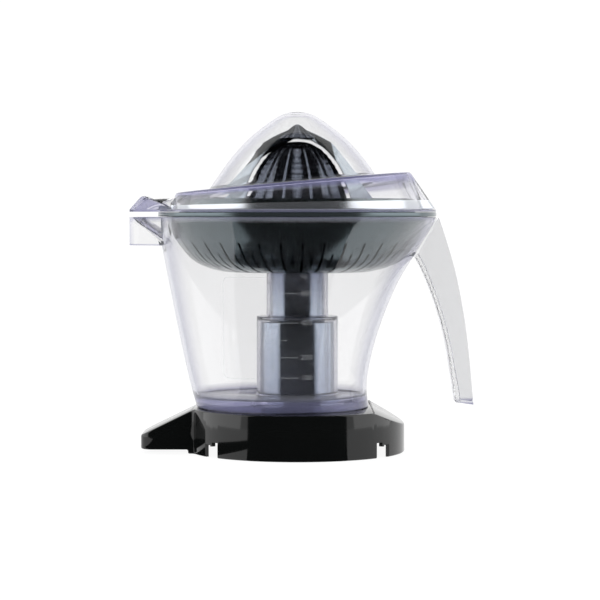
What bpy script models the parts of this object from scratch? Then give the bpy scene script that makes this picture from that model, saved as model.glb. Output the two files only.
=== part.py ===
"""Citrus press attachment: base with planetary gear column, jug, strainer, two cones and lid.

Metres, +Z up. The drive axis is the Z axis and the base's rim stands on Z = 0. The spout points
along -X and the handle along +X. Every named size is set once; what fits to it is worked out.
"""
import math

import bmesh
import bpy
from mathutils import Vector
from mathutils.geometry import tessellate_polygon

MM = 0.001
GAP = 0.3 * MM
RUNNING_GAP = 0.5 * MM
SHARP_ANGLE = math.radians(35)

# Overall sizes
DRUM_RADIUS = 66.5 * MM
BASE_HEIGHT = 27.4 * MM
JUG_HEIGHT = 117.4 * MM
JUG_RIM_RADIUS = 86.0 * MM

# Gears
GEAR_MODULE = 0.75 * MM
SUN_TEETH = 12
PLANET_TEETH = 18
RING_TEETH = SUN_TEETH + 2 * PLANET_TEETH
PLANET_COUNT = 3
PRESSURE_ANGLE = math.radians(20)
ADDENDUM = 0.75 * GEAR_MODULE
DEDENDUM = 1.15 * GEAR_MODULE
BACKLASH = 0.10 * MM
GEAR_WIDTH = 9.0 * MM
RING_GEAR_RIM = 2.0 * MM
RING_GEAR_RADIUS = RING_TEETH * GEAR_MODULE / 2 + DEDENDUM + RING_GEAR_RIM
CARRIER_THICKNESS = 3.5 * MM
STAGE_CLEARANCE = 1.0 * MM
PIN_RADIUS = 2.0 * MM

# Base
BASE_WALL = 2.6 * MM
DECK_THICKNESS = 3.0 * MM
ARM_HALF_WIDTH = 20.0 * MM
ARM_LENGTH = 29.8 * MM
ARM_REACH = DRUM_RADIUS + ARM_LENGTH
ARM_CORNER = 8.0 * MM
ARM_BOTTOM = 2.5 * MM
ROOF_ANGLE = math.radians(26)
NOTCH_ANGLE = math.radians(51.5)
NOTCH_WIDTH = 12.4 * MM
NOTCH_HEIGHT = 9.3 * MM
COVER_HEIGHT = 10.0 * MM
COVER_THICKNESS = 2.5 * MM
COVER_MARGIN = 12.5 * MM
COVER_RADIUS = DRUM_RADIUS - COVER_MARGIN
COVER_SCREW_INSET = 10.0 * MM
BOSS_RADIUS = 3.6 * MM

# Jug: sections are (share of the height, inset from the rim's radius, centre's X)
JUG_WALL = 2.2 * MM
JUG_BASE_HEIGHT = BASE_HEIGHT + GAP
JUG_RIM = JUG_BASE_HEIGHT + JUG_HEIGHT
JUG_FLOOR = JUG_BASE_HEIGHT + 7.0 * MM
JUG_FLOOR_THICKNESS = 3.0 * MM
JUG_SECTIONS = ((0.02, 32.6, -9.6), (0.156, 30.6, -11.9), (0.386, 24.5, -11.7), (0.6415, 15.6, -8.8),
                (0.8205, 7.3, -4.5))
JUG_FOOT_INSET = 32.8 * MM
JUG_FOOT_CENTRE = -9.0 * MM
JUG_FOOT_RADIUS = JUG_RIM_RADIUS - JUG_FOOT_INSET
ROOF_RIGHT_START = JUG_FOOT_RADIUS + JUG_FOOT_CENTRE + 1.8 * MM
ROOF_LEFT_START = JUG_FOOT_RADIUS - JUG_FOOT_CENTRE + 0.8 * MM
TUBE_GAP = 0.5 * MM
TUBE_WALL = 2.0 * MM
SPOUT_LENGTH = 17.7 * MM
SPOUT_REACH = JUG_RIM_RADIUS + SPOUT_LENGTH
SPOUT_DEPTH = 17.7 * MM
SPOUT_FLOOR = JUG_RIM - SPOUT_DEPTH
SPOUT_HALF_ANGLE = math.radians(7.5)
SPOUT_FADE_ANGLE = math.radians(7.5)

# Handle: its edges are (distance beyond the rim's radius, share of the jug's height)
HANDLE_OUTER = ((0.9, 0.9975), (5.8, 0.875), (11.8, 0.696), (17.0, 0.465), (20.0, 0.26), (22.6, 0.0162))
HANDLE_INNER = ((-13.2, 0.7855), (-7.8, 0.696), (-0.3, 0.529), (5.4, 0.352), (8.8, 0.183), (11.5, 0.029))
HANDLE_WIDTH = 25.0 * MM
HANDLE_WEB = 3.0 * MM
HANDLE_CHEEK = 2.2 * MM

# Strainer: its profile is (inset from the rim's radius, depth below the rim)
STRAINER_RIM_BOTTOM = JUG_RIM + GAP
STRAINER_RIM_THICKNESS = 2.6 * MM
STRAINER_WALL = 1.8 * MM
STRAINER_PROFILE = ((6.0, 2.4), (11.0, 14.4), (20.0, 25.4), (30.0, 31.1), (41.0, 33.8))
STRAINER_FLOOR = STRAINER_RIM_BOTTOM - STRAINER_PROFILE[-1][1] * MM
UPSTAND_RADIUS = JUG_RIM_RADIUS - 13.5 * MM
UPSTAND_HEIGHT = 10.8 * MM
UPSTAND_WALL = 1.8 * MM
SLOT_COUNT = 36
SLOT_WIDTH = 1.5 * MM
COLLAR_WALL = 2.0 * MM

# Gear column
COLUMN_WALL = 1.5 * MM
COLUMN_WIDE_RADIUS = RING_GEAR_RADIUS + GAP + COLUMN_WALL
COLUMN_WIDE_HEIGHT = 53.5 * MM
COLUMN_WIDE_TOP = JUG_BASE_HEIGHT + COLUMN_WIDE_HEIGHT
COLUMN_NARROW_RADIUS = 16.6 * MM
COLUMN_TOP = STRAINER_FLOOR + 6.4 * MM
COLUMN_FLANGE_BOTTOM = 15.0 * MM
COLUMN_FLANGE_THICKNESS = 3.0 * MM
COLUMN_SCREW_RING = COLUMN_WIDE_RADIUS + 4.9 * MM
COLUMN_FLANGE_RADIUS = COLUMN_WIDE_RADIUS + 9.3 * MM
GEARBOX_FLOOR = 24.0 * MM
GEARBOX_COVER_THICKNESS = 3.0 * MM
TUBE_STEP = COLUMN_WIDE_TOP + 2.8 * MM
TUBE_TOP = COLUMN_TOP + 3.0 * MM
COLLAR_TOP = TUBE_TOP + 4.0 * MM

# Cones: profiles are (radius, height above the cone's base)
CONE_BASE = STRAINER_FLOOR + 5.8 * MM
SMALL_CONE_PROFILE = ((6.8, 73.2), (15.3, 68.8), (21.4, 62.1), (26.3, 53.9), (29.0, 47.4), (33.0, 32.6),
                      (36.8, 19.6), (40.4, 6.6))
SMALL_CONE_HEIGHT = 73.9 * MM
SMALL_CONE_WALL = 2.0 * MM
CONE_FLANGE_RADIUS = 48.0 * MM
CONE_FLANGE_THICKNESS = 2.0 * MM
RIB_COUNT = 12
RIB_HEIGHT = 1.3 * MM
HUB_RADIUS = 9.0 * MM
WING_OUTLINE = ((5.3, 81.0), (11.5, 78.6), (17.8, 75.3), (23.0, 70.9), (27.0, 65.6), (31.0, 60.2),
                (38.0, 52.1), (43.5, 45.1), (48.0, 36.6), (50.0, 22.6))
WING_ARCH = ((8.2, 74.8), (16.9, 69.5), (23.6, 62.1), (28.4, 53.9), (31.0, 47.4), (34.9, 32.6), (38.7, 19.6),
             (42.2, 9.1))
WING_ARCH_HEIGHT = 75.6 * MM
WING_HALF_THICKNESS = 8.0 * MM
CONE_RING_INNER = 43.6 * MM
CONE_RING_OUTER = 50.0 * MM
CONE_RING_HEIGHT = 6.0 * MM
CAP_PROFILE = ((5.3, 81.2), (9.0, 78.2))
CAP_HEIGHT = 84.4 * MM

# Shafts
INPUT_SHAFT_RADIUS = 4.0 * MM
INPUT_TIP_RADIUS = 2.3 * MM
DOG_RADIUS = 10.0 * MM
DOG_BOTTOM = 0.8 * MM
DOG_HEIGHT = 8.5 * MM
OUTPUT_SHAFT_RADIUS = 5.0 * MM
HEX_ACROSS_FLATS = 9.4 * MM
HEX_TOP = CONE_BASE + 28.6 * MM
HUB_ROOF = HEX_TOP + GAP
BUSH_WALL = 2.3 * MM
UPPER_BUSH_LENGTH = 14.0 * MM
WASHER_THICKNESS = 1.3 * MM
CIRCLIP_THICKNESS = 1.2 * MM
CIRCLIP_GAP_ANGLE = math.radians(60)
SEAL_HEIGHT = 2.6 * MM
CARRIER_HUB_HEIGHT = 8.0 * MM

# Lid: the dome's profile is (radius, height above the lid's bottom)
LID_WALL = 1.8 * MM
LID_BOTTOM = STRAINER_RIM_BOTTOM + STRAINER_RIM_THICKNESS + GAP
LID_FLANGE_THICKNESS = 1.5 * MM
LID_FOOT_RADIUS = JUG_RIM_RADIUS - 7.0 * MM
LID_LIMB_SLOPE = 0.4
LID_TOP_CENTRE = LID_BOTTOM + 18.1 * MM
LID_TOP_SLOPE = math.tan(math.radians(5.1))
DOME_PROFILE = ((13.5, 57.7), (27.8, 47.2), (39.1, 35.5), (48.1, 23.4), (55.0, 13.2))
DOME_HEIGHT = 61.9 * MM
SPOUT_COVER_HEIGHT = 9.9 * MM
SPOUT_COVER_REACH = SPOUT_REACH - 9.2 * MM
RIDGE_REACH = JUG_RIM_RADIUS - 0.4 * MM
RIDGE_HALF_ANGLE = math.radians(7.5)
RIDGE_FADE_ANGLE = math.radians(7.5)

# Screws
SCREW_RADIUS = 1.3 * MM
SCREW_HEAD_RADIUS = 2.7 * MM
SCREW_HEAD_HEIGHT = 1.8 * MM
SCREW_LENGTH = 9.0 * MM
SCREW_HOLE_RADIUS = SCREW_RADIUS + GAP

FINE = 48
MEDIUM = 24
COARSE = 12

MATERIALS = {
    "black_gloss_plastic": ((0.012, 0.013, 0.013), 0.12, 0.0, 1.0),
    "slate_plastic": ((0.10, 0.115, 0.14), 0.35, 0.0, 1.0),
    "clear_plastic": ((0.86, 0.86, 0.93), 0.05, 0.0, 0.3),
    "charcoal_plastic": ((0.035, 0.042, 0.047), 0.18, 0.0, 1.0),
    "acetal_plastic": ((0.80, 0.79, 0.74), 0.4, 0.0, 1.0),
    "bright_steel": ((0.62, 0.62, 0.62), 0.25, 1.0, 1.0),
    "sintered_bronze": ((0.42, 0.27, 0.12), 0.45, 1.0, 1.0),
    "seal_rubber": ((0.02, 0.02, 0.02), 0.7, 0.0, 1.0),
}


def clear_scene():
    """Remove every object so that a second run starts from nothing."""
    for item in list(bpy.data.objects):
        bpy.data.objects.remove(item, do_unlink=True)


def get_material(name):
    """Return the named finish, making it the first time."""
    if name in bpy.data.materials:
        return bpy.data.materials[name]
    color, roughness, metallic, alpha = MATERIALS[name]
    material = bpy.data.materials.new(name)
    material.use_nodes = True
    shader = material.node_tree.nodes["Principled BSDF"]
    shader.inputs["Base Color"].default_value = (*color, 1.0)
    shader.inputs["Roughness"].default_value = roughness
    shader.inputs["Metallic"].default_value = metallic
    shader.inputs["Alpha"].default_value = alpha
    return material


def add_body(name, parent=None):
    """Add the empty that carries one moving body, on the drive axis."""
    body = bpy.data.objects.new(name, None)
    bpy.context.scene.collection.objects.link(body)
    body.parent = parent
    return body


def add_solid(name, verts, faces, material, body=None, location=(0, 0, 0)):
    """Make an object from a closed mesh, with its normals outward and its sharp edges marked."""
    mesh = bpy.data.meshes.new(name)
    work = bmesh.new()
    made = [work.verts.new(point) for point in verts]
    for face in faces:
        work.faces.new([made[index] for index in face])
    bmesh.ops.recalc_face_normals(work, faces=work.faces)
    mark_sharp(work)
    work.to_mesh(mesh)
    work.free()
    item = bpy.data.objects.new(name, mesh)
    bpy.context.scene.collection.objects.link(item)
    item.data.materials.append(get_material(material))
    item.location = location
    item.parent = body
    return item


def mark_sharp(work):
    """Shade all faces smooth and keep the edges that turn more than SHARP_ANGLE sharp."""
    for face in work.faces:
        face.smooth = True
    for edge in work.edges:
        edge.smooth = len(edge.link_faces) == 2 and edge.calc_face_angle(0.0) < SHARP_ANGLE


def circle(radius, z, segments=FINE, centre_x=0.0):
    """A ring of points; radius may be a number or a function of the angle."""
    points = []
    for step in range(segments):
        angle = 2 * math.pi * step / segments
        reach = radius(angle) if callable(radius) else radius
        points.append((centre_x + reach * math.cos(angle), reach * math.sin(angle), z))
    return points


def skin(name, rings, material, closed=False, body=None, location=(0, 0, 0)):
    """Join rings of points into one solid. A ring of one point is a tip, and a closed skin is a tube."""
    verts = []
    starts = []
    for ring in rings:
        starts.append(len(verts))
        verts.extend(ring)
    faces = []
    pairs = list(zip(range(len(rings)), range(1, len(rings))))
    if closed:
        pairs.append((len(rings) - 1, 0))
    for first, second in pairs:
        faces.extend(bridge(starts[first], len(rings[first]), starts[second], len(rings[second])))
    if not closed:
        for index in (0, len(rings) - 1):
            if len(rings[index]) > 1:
                faces.append(range(starts[index], starts[index] + len(rings[index])))
    return add_solid(name, verts, faces, material, body, location)


def bridge(start_a, count_a, start_b, count_b):
    """Faces between two rings of equal count, or between a ring and a tip."""
    faces = []
    count = max(count_a, count_b)
    for step in range(count):
        after = (step + 1) % count
        if count_a == 1:
            faces.append((start_a, start_b + step, start_b + after))
        elif count_b == 1:
            faces.append((start_a + step, start_a + after, start_b))
        else:
            faces.append((start_a + step, start_a + after, start_b + after, start_b + step))
    return faces


def turned(name, profile, material, segments=MEDIUM, closed=False, body=None):
    """Turn a profile of (radius, z) about the drive axis. A radius of 0 is a point on the axis."""
    rings = []
    for radius, z in profile:
        on_axis = not callable(radius) and radius == 0
        rings.append([(0, 0, z)] if on_axis else circle(radius, z, segments))
    return skin(name, rings, material, closed, body)


def prism(name, outline, holes, bottom, top, material, body=None, location=(0, 0, 0)):
    """Extrude a flat outline with holes from bottom to top."""
    loops = [outline, *holes]
    flat = [point for loop in loops for point in loop]
    count = len(flat)
    verts = [(x, y, bottom) for x, y in flat] + [(x, y, top) for x, y in flat]
    faces = []
    for triangle in tessellate_polygon([[Vector((x, y, 0)) for x, y in loop] for loop in loops]):
        faces.append(triangle)
        faces.append([index + count for index in triangle])
    start = 0
    for loop in loops:
        for step in range(len(loop)):
            after = (step + 1) % len(loop)
            faces.append((start + step, start + after, start + after + count, start + step + count))
        start += len(loop)
    return add_solid(name, verts, faces, material, body, location)


def round_loop(radius, centre=(0.0, 0.0), segments=COARSE):
    """A flat circle of points."""
    return [(x + centre[0], y + centre[1]) for x, y, _ in circle(radius, 0, segments)]


def polar(radius, angle):
    """A flat point at this radius and angle."""
    return radius * math.cos(angle), radius * math.sin(angle)


def combine(target, tool, operation):
    """Apply a Boolean with a tool object, remove the tool and mark the sharp edges again."""
    cut = target.modifiers.new(operation.lower(), "BOOLEAN")
    cut.operation = operation
    cut.object = tool
    bpy.context.view_layer.update()
    result = bpy.data.meshes.new_from_object(target.evaluated_get(bpy.context.evaluated_depsgraph_get()))
    target.modifiers.remove(cut)
    target.data = result
    work = bmesh.new()
    work.from_mesh(result)
    bmesh.ops.dissolve_degenerate(work, dist=1e-6, edges=work.edges)
    mark_sharp(work)
    work.to_mesh(result)
    work.free()
    bpy.data.objects.remove(tool, do_unlink=True)


def offset_profile(points, distance):
    """Move a profile of (radius, z) that runs downward inward by distance."""
    moved = []
    for index, point in enumerate(points):
        before = Vector(points[max(index - 1, 0)])
        after = Vector(points[min(index + 1, len(points) - 1)])
        along = (after - before).normalized()
        moved.append((point[0] + along.y * distance, point[1] - along.x * distance))
    return moved


def radius_at(points, z):
    """The radius of a profile at height z, by straight lines between its points."""
    ordered = sorted(points, key=lambda point: point[1])
    if z <= ordered[0][1]:
        return ordered[0][0]
    for (radius_a, z_a), (radius_b, z_b) in zip(ordered, ordered[1:]):
        if z <= z_b:
            return radius_a + (radius_b - radius_a) * (z - z_a) / (z_b - z_a)
    return ordered[-1][0]


def raised(points, base):
    """Turn millimetre points of (radius, height) into metres above base."""
    return [(radius * MM, base + height * MM) for radius, height in points]


def handle_edge(points):
    """Turn a handle's edge into points of (x, z) in metres."""
    return [(JUG_RIM_RADIUS + beyond * MM, JUG_BASE_HEIGHT + share * JUG_HEIGHT) for beyond, share in points]


def smooth_path(points, steps):
    """Points on a smooth curve through the given ones, steps of them to each stretch."""
    ends = [points[0], *points, points[-1]]
    path = []
    for before, start, end, after in zip(ends, ends[1:], ends[2:], ends[3:]):
        for step in range(steps):
            t = step / steps
            weights = ((-t + 2 * t * t - t ** 3) / 2, (2 - 5 * t * t + 3 * t ** 3) / 2,
                       (t + 4 * t * t - 3 * t ** 3) / 2, (t ** 3 - t * t) / 2)
            near = (before, start, end, after)
            path.append(tuple(sum(w * point[k] for w, point in zip(weights, near)) for k in range(len(start))))
    return [*path, points[-1]]


def side_weight(angle, centre, half, fade):
    """1 within half of the centre angle, falling to 0 over the fade."""
    away = abs((angle - centre + math.pi) % (2 * math.pi) - math.pi)
    return min(1.0, max(0.0, (half + fade - away) / fade))


# ---------------------------------------------------------------- base


def base_outline(inset):
    """The drum's circle with the arm on the -X side, moved inward by inset."""
    radius = DRUM_RADIUS - inset
    half = ARM_HALF_WIDTH - inset
    reach = ARM_REACH - inset
    corner = ARM_CORNER
    join = math.pi - math.asin(half / radius)
    points = [polar(radius, -join + 2 * join * step / FINE) for step in range(FINE + 1)]
    for step in range(7):
        angle = math.pi / 2 + math.pi / 2 * step / 6
        points.append((-reach + corner + corner * math.cos(angle), half - corner + corner * math.sin(angle)))
    for step in range(7):
        angle = math.pi + math.pi / 2 * step / 6
        points.append((-reach + corner + corner * math.cos(angle), corner - half + corner * math.sin(angle)))
    return points


def cut_roof(item, inset):
    """Slope the block's top down to both ends, as planes moved down by inset."""
    work = bmesh.new()
    work.from_mesh(item.data)
    for start, side in ((ROOF_RIGHT_START, 1), (ROOF_LEFT_START, -1)):
        normal = Vector((side * math.sin(ROOF_ANGLE), 0, math.cos(ROOF_ANGLE)))
        point = Vector((side * start, 0, BASE_HEIGHT)) - normal * inset
        geometry = work.verts[:] + work.edges[:] + work.faces[:]
        bmesh.ops.bisect_plane(work, geom=geometry, plane_co=point, plane_no=normal, clear_outer=True)
        bmesh.ops.holes_fill(work, edges=[edge for edge in work.edges if edge.is_boundary])
    bmesh.ops.recalc_face_normals(work, faces=work.faces)
    mark_sharp(work)
    work.to_mesh(item.data)
    work.free()


def ring_positions(radius, count, start):
    """Evenly spaced points on a circle."""
    return [polar(radius, start + 2 * math.pi * step / count) for step in range(count)]


def cover_screw_places():
    """Where the bottom cover's screws go."""
    return ring_positions(COVER_RADIUS - COVER_SCREW_INSET, 4, math.radians(45))


def column_screw_places():
    """Where the gear column's screws go."""
    return ring_positions(COLUMN_SCREW_RING, 3, math.radians(90))


def make_base_shell():
    """Hollow black drum with its arm, deck hole, screw bosses and bayonet notches."""
    black = "black_gloss_plastic"
    shell = prism("base_shell", base_outline(0), [], 0, BASE_HEIGHT, black)
    cut_roof(shell, 0)
    deck_underside = BASE_HEIGHT - DECK_THICKNESS
    hollow = prism("hollow", base_outline(BASE_WALL), [], -BASE_WALL, deck_underside, black)
    cut_roof(hollow, BASE_WALL)
    combine(shell, hollow, "DIFFERENCE")
    hole = turned("hole", ((0, 0), (COLUMN_WIDE_RADIUS + GAP, 0), (COLUMN_WIDE_RADIUS + GAP, BASE_HEIGHT + GAP),
                           (0, BASE_HEIGHT + GAP)), black, MEDIUM)
    combine(shell, hole, "DIFFERENCE")
    low_arm = [(-ARM_REACH - MM, -ARM_HALF_WIDTH - MM), (-DRUM_RADIUS, -ARM_HALF_WIDTH - MM),
               (-DRUM_RADIUS, ARM_HALF_WIDTH + MM), (-ARM_REACH - MM, ARM_HALF_WIDTH + MM)]
    combine(shell, prism("low_arm", low_arm, [], -MM, ARM_BOTTOM, black), "DIFFERENCE")
    column_boss_end = COLUMN_FLANGE_BOTTOM + COLUMN_FLANGE_THICKNESS + GAP
    cover_boss_end = COVER_HEIGHT + COVER_THICKNESS + GAP
    for places, end in ((cover_screw_places(), cover_boss_end), (column_screw_places(), column_boss_end)):
        for place in places:
            outline = round_loop(BOSS_RADIUS, place)
            post = prism("post", outline, [], end, deck_underside + DECK_THICKNESS / 3, black)
            combine(shell, post, "UNION")
            bore = prism("bore", round_loop(SCREW_HOLE_RADIUS, place), [], end - MM, end + SCREW_LENGTH - 2 * MM,
                         black)
            combine(shell, bore, "DIFFERENCE")
    for centre in (-math.pi / 2, math.pi / 2):
        for side in (-1, 1):
            combine(shell, notch_tool(centre + side * NOTCH_ANGLE), "DIFFERENCE")
    return shell


def notch_tool(angle):
    """A block that cuts one bayonet notch through the skirt."""
    across = NOTCH_WIDTH / 2
    corners = []
    for radius, side in ((-1, -1), (1, -1), (1, 1), (-1, 1)):
        x, y = polar(DRUM_RADIUS - BASE_WALL / 2 + radius * 3 * BASE_WALL, angle)
        corners.append((x - math.sin(angle) * side * across, y + math.cos(angle) * side * across))
    return prism("notch", corners, [], -MM, NOTCH_HEIGHT, "black_gloss_plastic")


def make_bottom_cover():
    """Plate that closes the gearbox from below, with a boss for the input bush."""
    bore = INPUT_SHAFT_RADIUS + RUNNING_GAP + BUSH_WALL + GAP
    holes = [round_loop(bore, segments=MEDIUM)]
    holes += [round_loop(SCREW_HOLE_RADIUS, place) for place in cover_screw_places()]
    top = COVER_HEIGHT + COVER_THICKNESS
    return prism("bottom_cover", round_loop(COVER_RADIUS, segments=FINE), holes, COVER_HEIGHT, top,
                 "black_gloss_plastic")


def make_screw(name, place, seat):
    """A screw driven upward, its head under the seat."""
    bottom = seat - GAP - SCREW_HEAD_HEIGHT
    recess = SCREW_HEAD_RADIUS / 2
    profile = (
        (0, SCREW_HEAD_HEIGHT * 0.6), (recess, SCREW_HEAD_HEIGHT * 0.6), (recess, 0),
        (SCREW_HEAD_RADIUS * 0.85, 0), (SCREW_HEAD_RADIUS, SCREW_HEAD_HEIGHT * 0.3),
        (SCREW_HEAD_RADIUS, SCREW_HEAD_HEIGHT), (SCREW_RADIUS, SCREW_HEAD_HEIGHT),
        (SCREW_RADIUS, SCREW_LENGTH), (0, SCREW_LENGTH + SCREW_RADIUS / 2),
    )
    screw = turned(name, profile, "bright_steel", 12)
    screw.location = (*place, bottom)
    return screw


def make_column():
    """Stepped grey column: flange, wide gear case and narrow shaft tower in one moulding."""
    wide_bore = COLUMN_WIDE_RADIUS - COLUMN_WALL
    narrow_bore = COLUMN_NARROW_RADIUS - COLUMN_WALL - 0.5 * MM
    bush = OUTPUT_SHAFT_RADIUS + GAP + BUSH_WALL + GAP
    flange_top = COLUMN_FLANGE_BOTTOM + COLUMN_FLANGE_THICKNESS
    bush_bottom = COLUMN_TOP - UPPER_BUSH_LENGTH
    profile = (
        (wide_bore, COLUMN_FLANGE_BOTTOM), (COLUMN_FLANGE_RADIUS, COLUMN_FLANGE_BOTTOM),
        (COLUMN_FLANGE_RADIUS, flange_top), (COLUMN_WIDE_RADIUS, flange_top),
        (COLUMN_WIDE_RADIUS, COLUMN_WIDE_TOP - MM), (COLUMN_WIDE_RADIUS - MM, COLUMN_WIDE_TOP),
        (COLUMN_NARROW_RADIUS, COLUMN_WIDE_TOP), (COLUMN_NARROW_RADIUS, COLUMN_TOP - MM),
        (COLUMN_NARROW_RADIUS - MM, COLUMN_TOP), (bush, COLUMN_TOP), (bush, bush_bottom),
        (bush + 2 * MM, bush_bottom), (bush + 2 * MM, COLUMN_TOP - 4 * MM),
        (narrow_bore, COLUMN_TOP - 4 * MM), (narrow_bore, COLUMN_WIDE_TOP - 3 * MM),
        (wide_bore - 2 * MM, COLUMN_WIDE_TOP - 3 * MM), (wide_bore - 2 * MM, ring_gear_top() + GAP),
        (wide_bore, ring_gear_top() + GAP),
    )
    column = turned("gear_column", profile, "slate_plastic", MEDIUM, closed=True)
    for place in column_screw_places():
        bore = prism("bore", round_loop(SCREW_HOLE_RADIUS, place), [], COLUMN_FLANGE_BOTTOM - MM, flange_top + MM,
                     "slate_plastic")
        combine(column, bore, "DIFFERENCE")
    return column


def make_bush(name, bore, bottom, top, shape_gap=0.0):
    """Plain bronze bearing bush round a shaft on the drive axis."""
    outer = bore + shape_gap + BUSH_WALL
    return prism(name, round_loop(outer, segments=MEDIUM), [round_loop(bore + shape_gap, segments=MEDIUM)],
                 bottom, top, "sintered_bronze")


def make_gearbox_cover():
    """Plate that closes the gear case under stage 1 and holds the lower bush."""
    outer = COLUMN_WIDE_RADIUS - COLUMN_WALL - GAP
    bore = INPUT_SHAFT_RADIUS + RUNNING_GAP + BUSH_WALL + GAP
    return prism("gearbox_cover", round_loop(outer, segments=MEDIUM), [round_loop(bore, segments=MEDIUM)],
                 GEARBOX_FLOOR, GEARBOX_FLOOR + GEARBOX_COVER_THICKNESS, "slate_plastic")


def make_seal():
    """Lip seal on top of the column."""
    bore = OUTPUT_SHAFT_RADIUS + GAP
    outer = COLUMN_NARROW_RADIUS - 4 * MM
    bottom = COLUMN_TOP + GAP
    profile = ((bore, bottom), (outer, bottom), (outer, bottom + SEAL_HEIGHT / 2),
               (bore + 1.5 * MM, bottom + SEAL_HEIGHT), (bore, bottom + SEAL_HEIGHT))
    return turned("shaft_seal", profile, "seal_rubber", MEDIUM, closed=True)


# ---------------------------------------------------------------- gears


def stage_bottom(stage):
    """Where the gears of stage 1 or 2 start."""
    first = GEARBOX_FLOOR + GEARBOX_COVER_THICKNESS + STAGE_CLEARANCE
    return first + (stage - 1) * (GEAR_WIDTH + CARRIER_THICKNESS + 2 * STAGE_CLEARANCE)


def stage_top(stage):
    """Where the gears of stage 1 or 2 end."""
    return stage_bottom(stage) + GEAR_WIDTH


def ring_gear_top():
    """The ring gear ends level with the second stage's gears."""
    return stage_top(2) + STAGE_CLEARANCE / 2


def gear_outline(teeth, tip_radius, root_radius, thinning, turn=0.0):
    """Outline of an involute gear, each tooth thinner by thinning on both flanks."""
    pitch_radius = teeth * GEAR_MODULE / 2
    base_radius = pitch_radius * math.cos(PRESSURE_ANGLE)

    def involute(radius):
        pressure = math.acos(min(1.0, base_radius / radius))
        return math.tan(pressure) - pressure

    half_angle = math.pi / (2 * teeth) - thinning / pitch_radius + involute(pitch_radius)
    start_radius = max(base_radius, root_radius)
    flank = []
    if root_radius < base_radius:
        flank.append((root_radius, half_angle))
    flank += [(radius, half_angle - involute(radius)) for radius in (start_radius, tip_radius)]
    points = []
    for tooth in range(teeth):
        centre = turn + tooth * 2 * math.pi / teeth
        points += [polar(radius, centre - angle) for radius, angle in flank]
        points += [polar(radius, centre + angle) for radius, angle in reversed(flank)]
    return points


def pitch_radius_of(teeth):
    """Pitch radius of a gear with this many teeth."""
    return teeth * GEAR_MODULE / 2


def make_ring_gear():
    """Internal gear that both stages' planets roll in."""
    pitch = pitch_radius_of(RING_TEETH)
    space = gear_outline(RING_TEETH, pitch + DEDENDUM, pitch - ADDENDUM, -BACKLASH, math.pi / RING_TEETH)
    bottom = stage_bottom(1) - STAGE_CLEARANCE + GAP
    return prism("ring_gear", round_loop(RING_GEAR_RADIUS, segments=MEDIUM), [space], bottom, ring_gear_top(),
                 "acetal_plastic")


def make_sun(stage, bore, body):
    """Sun gear of one stage."""
    pitch = pitch_radius_of(SUN_TEETH)
    outline = gear_outline(SUN_TEETH, pitch + ADDENDUM, pitch - DEDENDUM, BACKLASH)
    return prism(f"sun_gear_{stage}", outline, [round_loop(bore, segments=COARSE)], stage_bottom(stage),
                 stage_top(stage), "bright_steel", body)


def planet_places():
    """Centres of the planets."""
    return ring_positions(pitch_radius_of(SUN_TEETH) + pitch_radius_of(PLANET_TEETH), PLANET_COUNT, 0.0)


def make_planets(stage, carrier):
    """Three planet gears, each with its origin on its own pin's axis."""
    pitch = pitch_radius_of(PLANET_TEETH)
    for number, place in enumerate(planet_places(), start=1):
        turn = 2 * math.pi * (number - 1) / PLANET_COUNT + math.pi / PLANET_TEETH
        outline = gear_outline(PLANET_TEETH, pitch + ADDENDUM, pitch - DEDENDUM, BACKLASH, turn)
        bore = round_loop(PIN_RADIUS + GAP, segments=12)
        prism(f"planet_gear_{stage}_{number}", outline, [bore], stage_bottom(stage), stage_top(stage),
              "acetal_plastic", carrier, (*place, 0))


def make_pins(stage, carrier):
    """Three steel pins that hang from the carrier through the planets."""
    bottom = stage_bottom(stage) + GAP
    top = stage_top(stage) + STAGE_CLEARANCE + CARRIER_THICKNESS - GAP
    for number, place in enumerate(planet_places(), start=1):
        prism(f"planet_pin_{stage}_{number}", round_loop(PIN_RADIUS, segments=12), [], bottom, top,
              "bright_steel", carrier, (*place, 0))


def carrier_outline():
    """Round plate with a wall between it and the ring gear's teeth."""
    return round_loop(pitch_radius_of(RING_TEETH) - ADDENDUM - GAP, segments=MEDIUM)


def make_carrier_1(body):
    """Stage 1 carrier plate with a spigot that drives the second sun gear."""
    bottom = stage_top(1) + STAGE_CLEARANCE
    top = bottom + CARRIER_THICKNESS
    plate = prism("planet_carrier_1", carrier_outline(),
                  [round_loop(PIN_RADIUS + GAP, place, 12) for place in planet_places()], bottom, top,
                  "acetal_plastic", body)
    spigot = prism("spigot", round_loop(INPUT_TIP_RADIUS, segments=COARSE), [], top - MM, stage_top(2) - MM,
                   "acetal_plastic")
    combine(plate, spigot, "UNION")
    return plate


def make_output_carrier(body):
    """Stage 2 carrier plate with the hub that grips the output shaft's hexagon."""
    bottom = stage_top(2) + STAGE_CLEARANCE
    top = bottom + CARRIER_THICKNESS
    bore = circle(lambda angle: hexagon(angle, HEX_ACROSS_FLATS / 2 + GAP), 0, MEDIUM)
    bore = [(x, y) for x, y, _ in bore]
    holes = [round_loop(PIN_RADIUS + GAP, place, 12) for place in planet_places()]
    plate = prism("output_carrier", carrier_outline(), [bore, *holes], bottom, top, "acetal_plastic", body)
    hub = prism("hub", round_loop(HUB_RADIUS - MM, segments=MEDIUM), [bore], top - MM,
                top + CARRIER_HUB_HEIGHT, "acetal_plastic")
    combine(plate, hub, "UNION")
    return plate


def hexagon(angle, flat_radius):
    """Radius of a hexagon at this angle, from its flats' distance to the centre."""
    sixth = math.pi / 3
    return flat_radius / math.cos((angle + sixth / 2) % sixth - sixth / 2)


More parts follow.
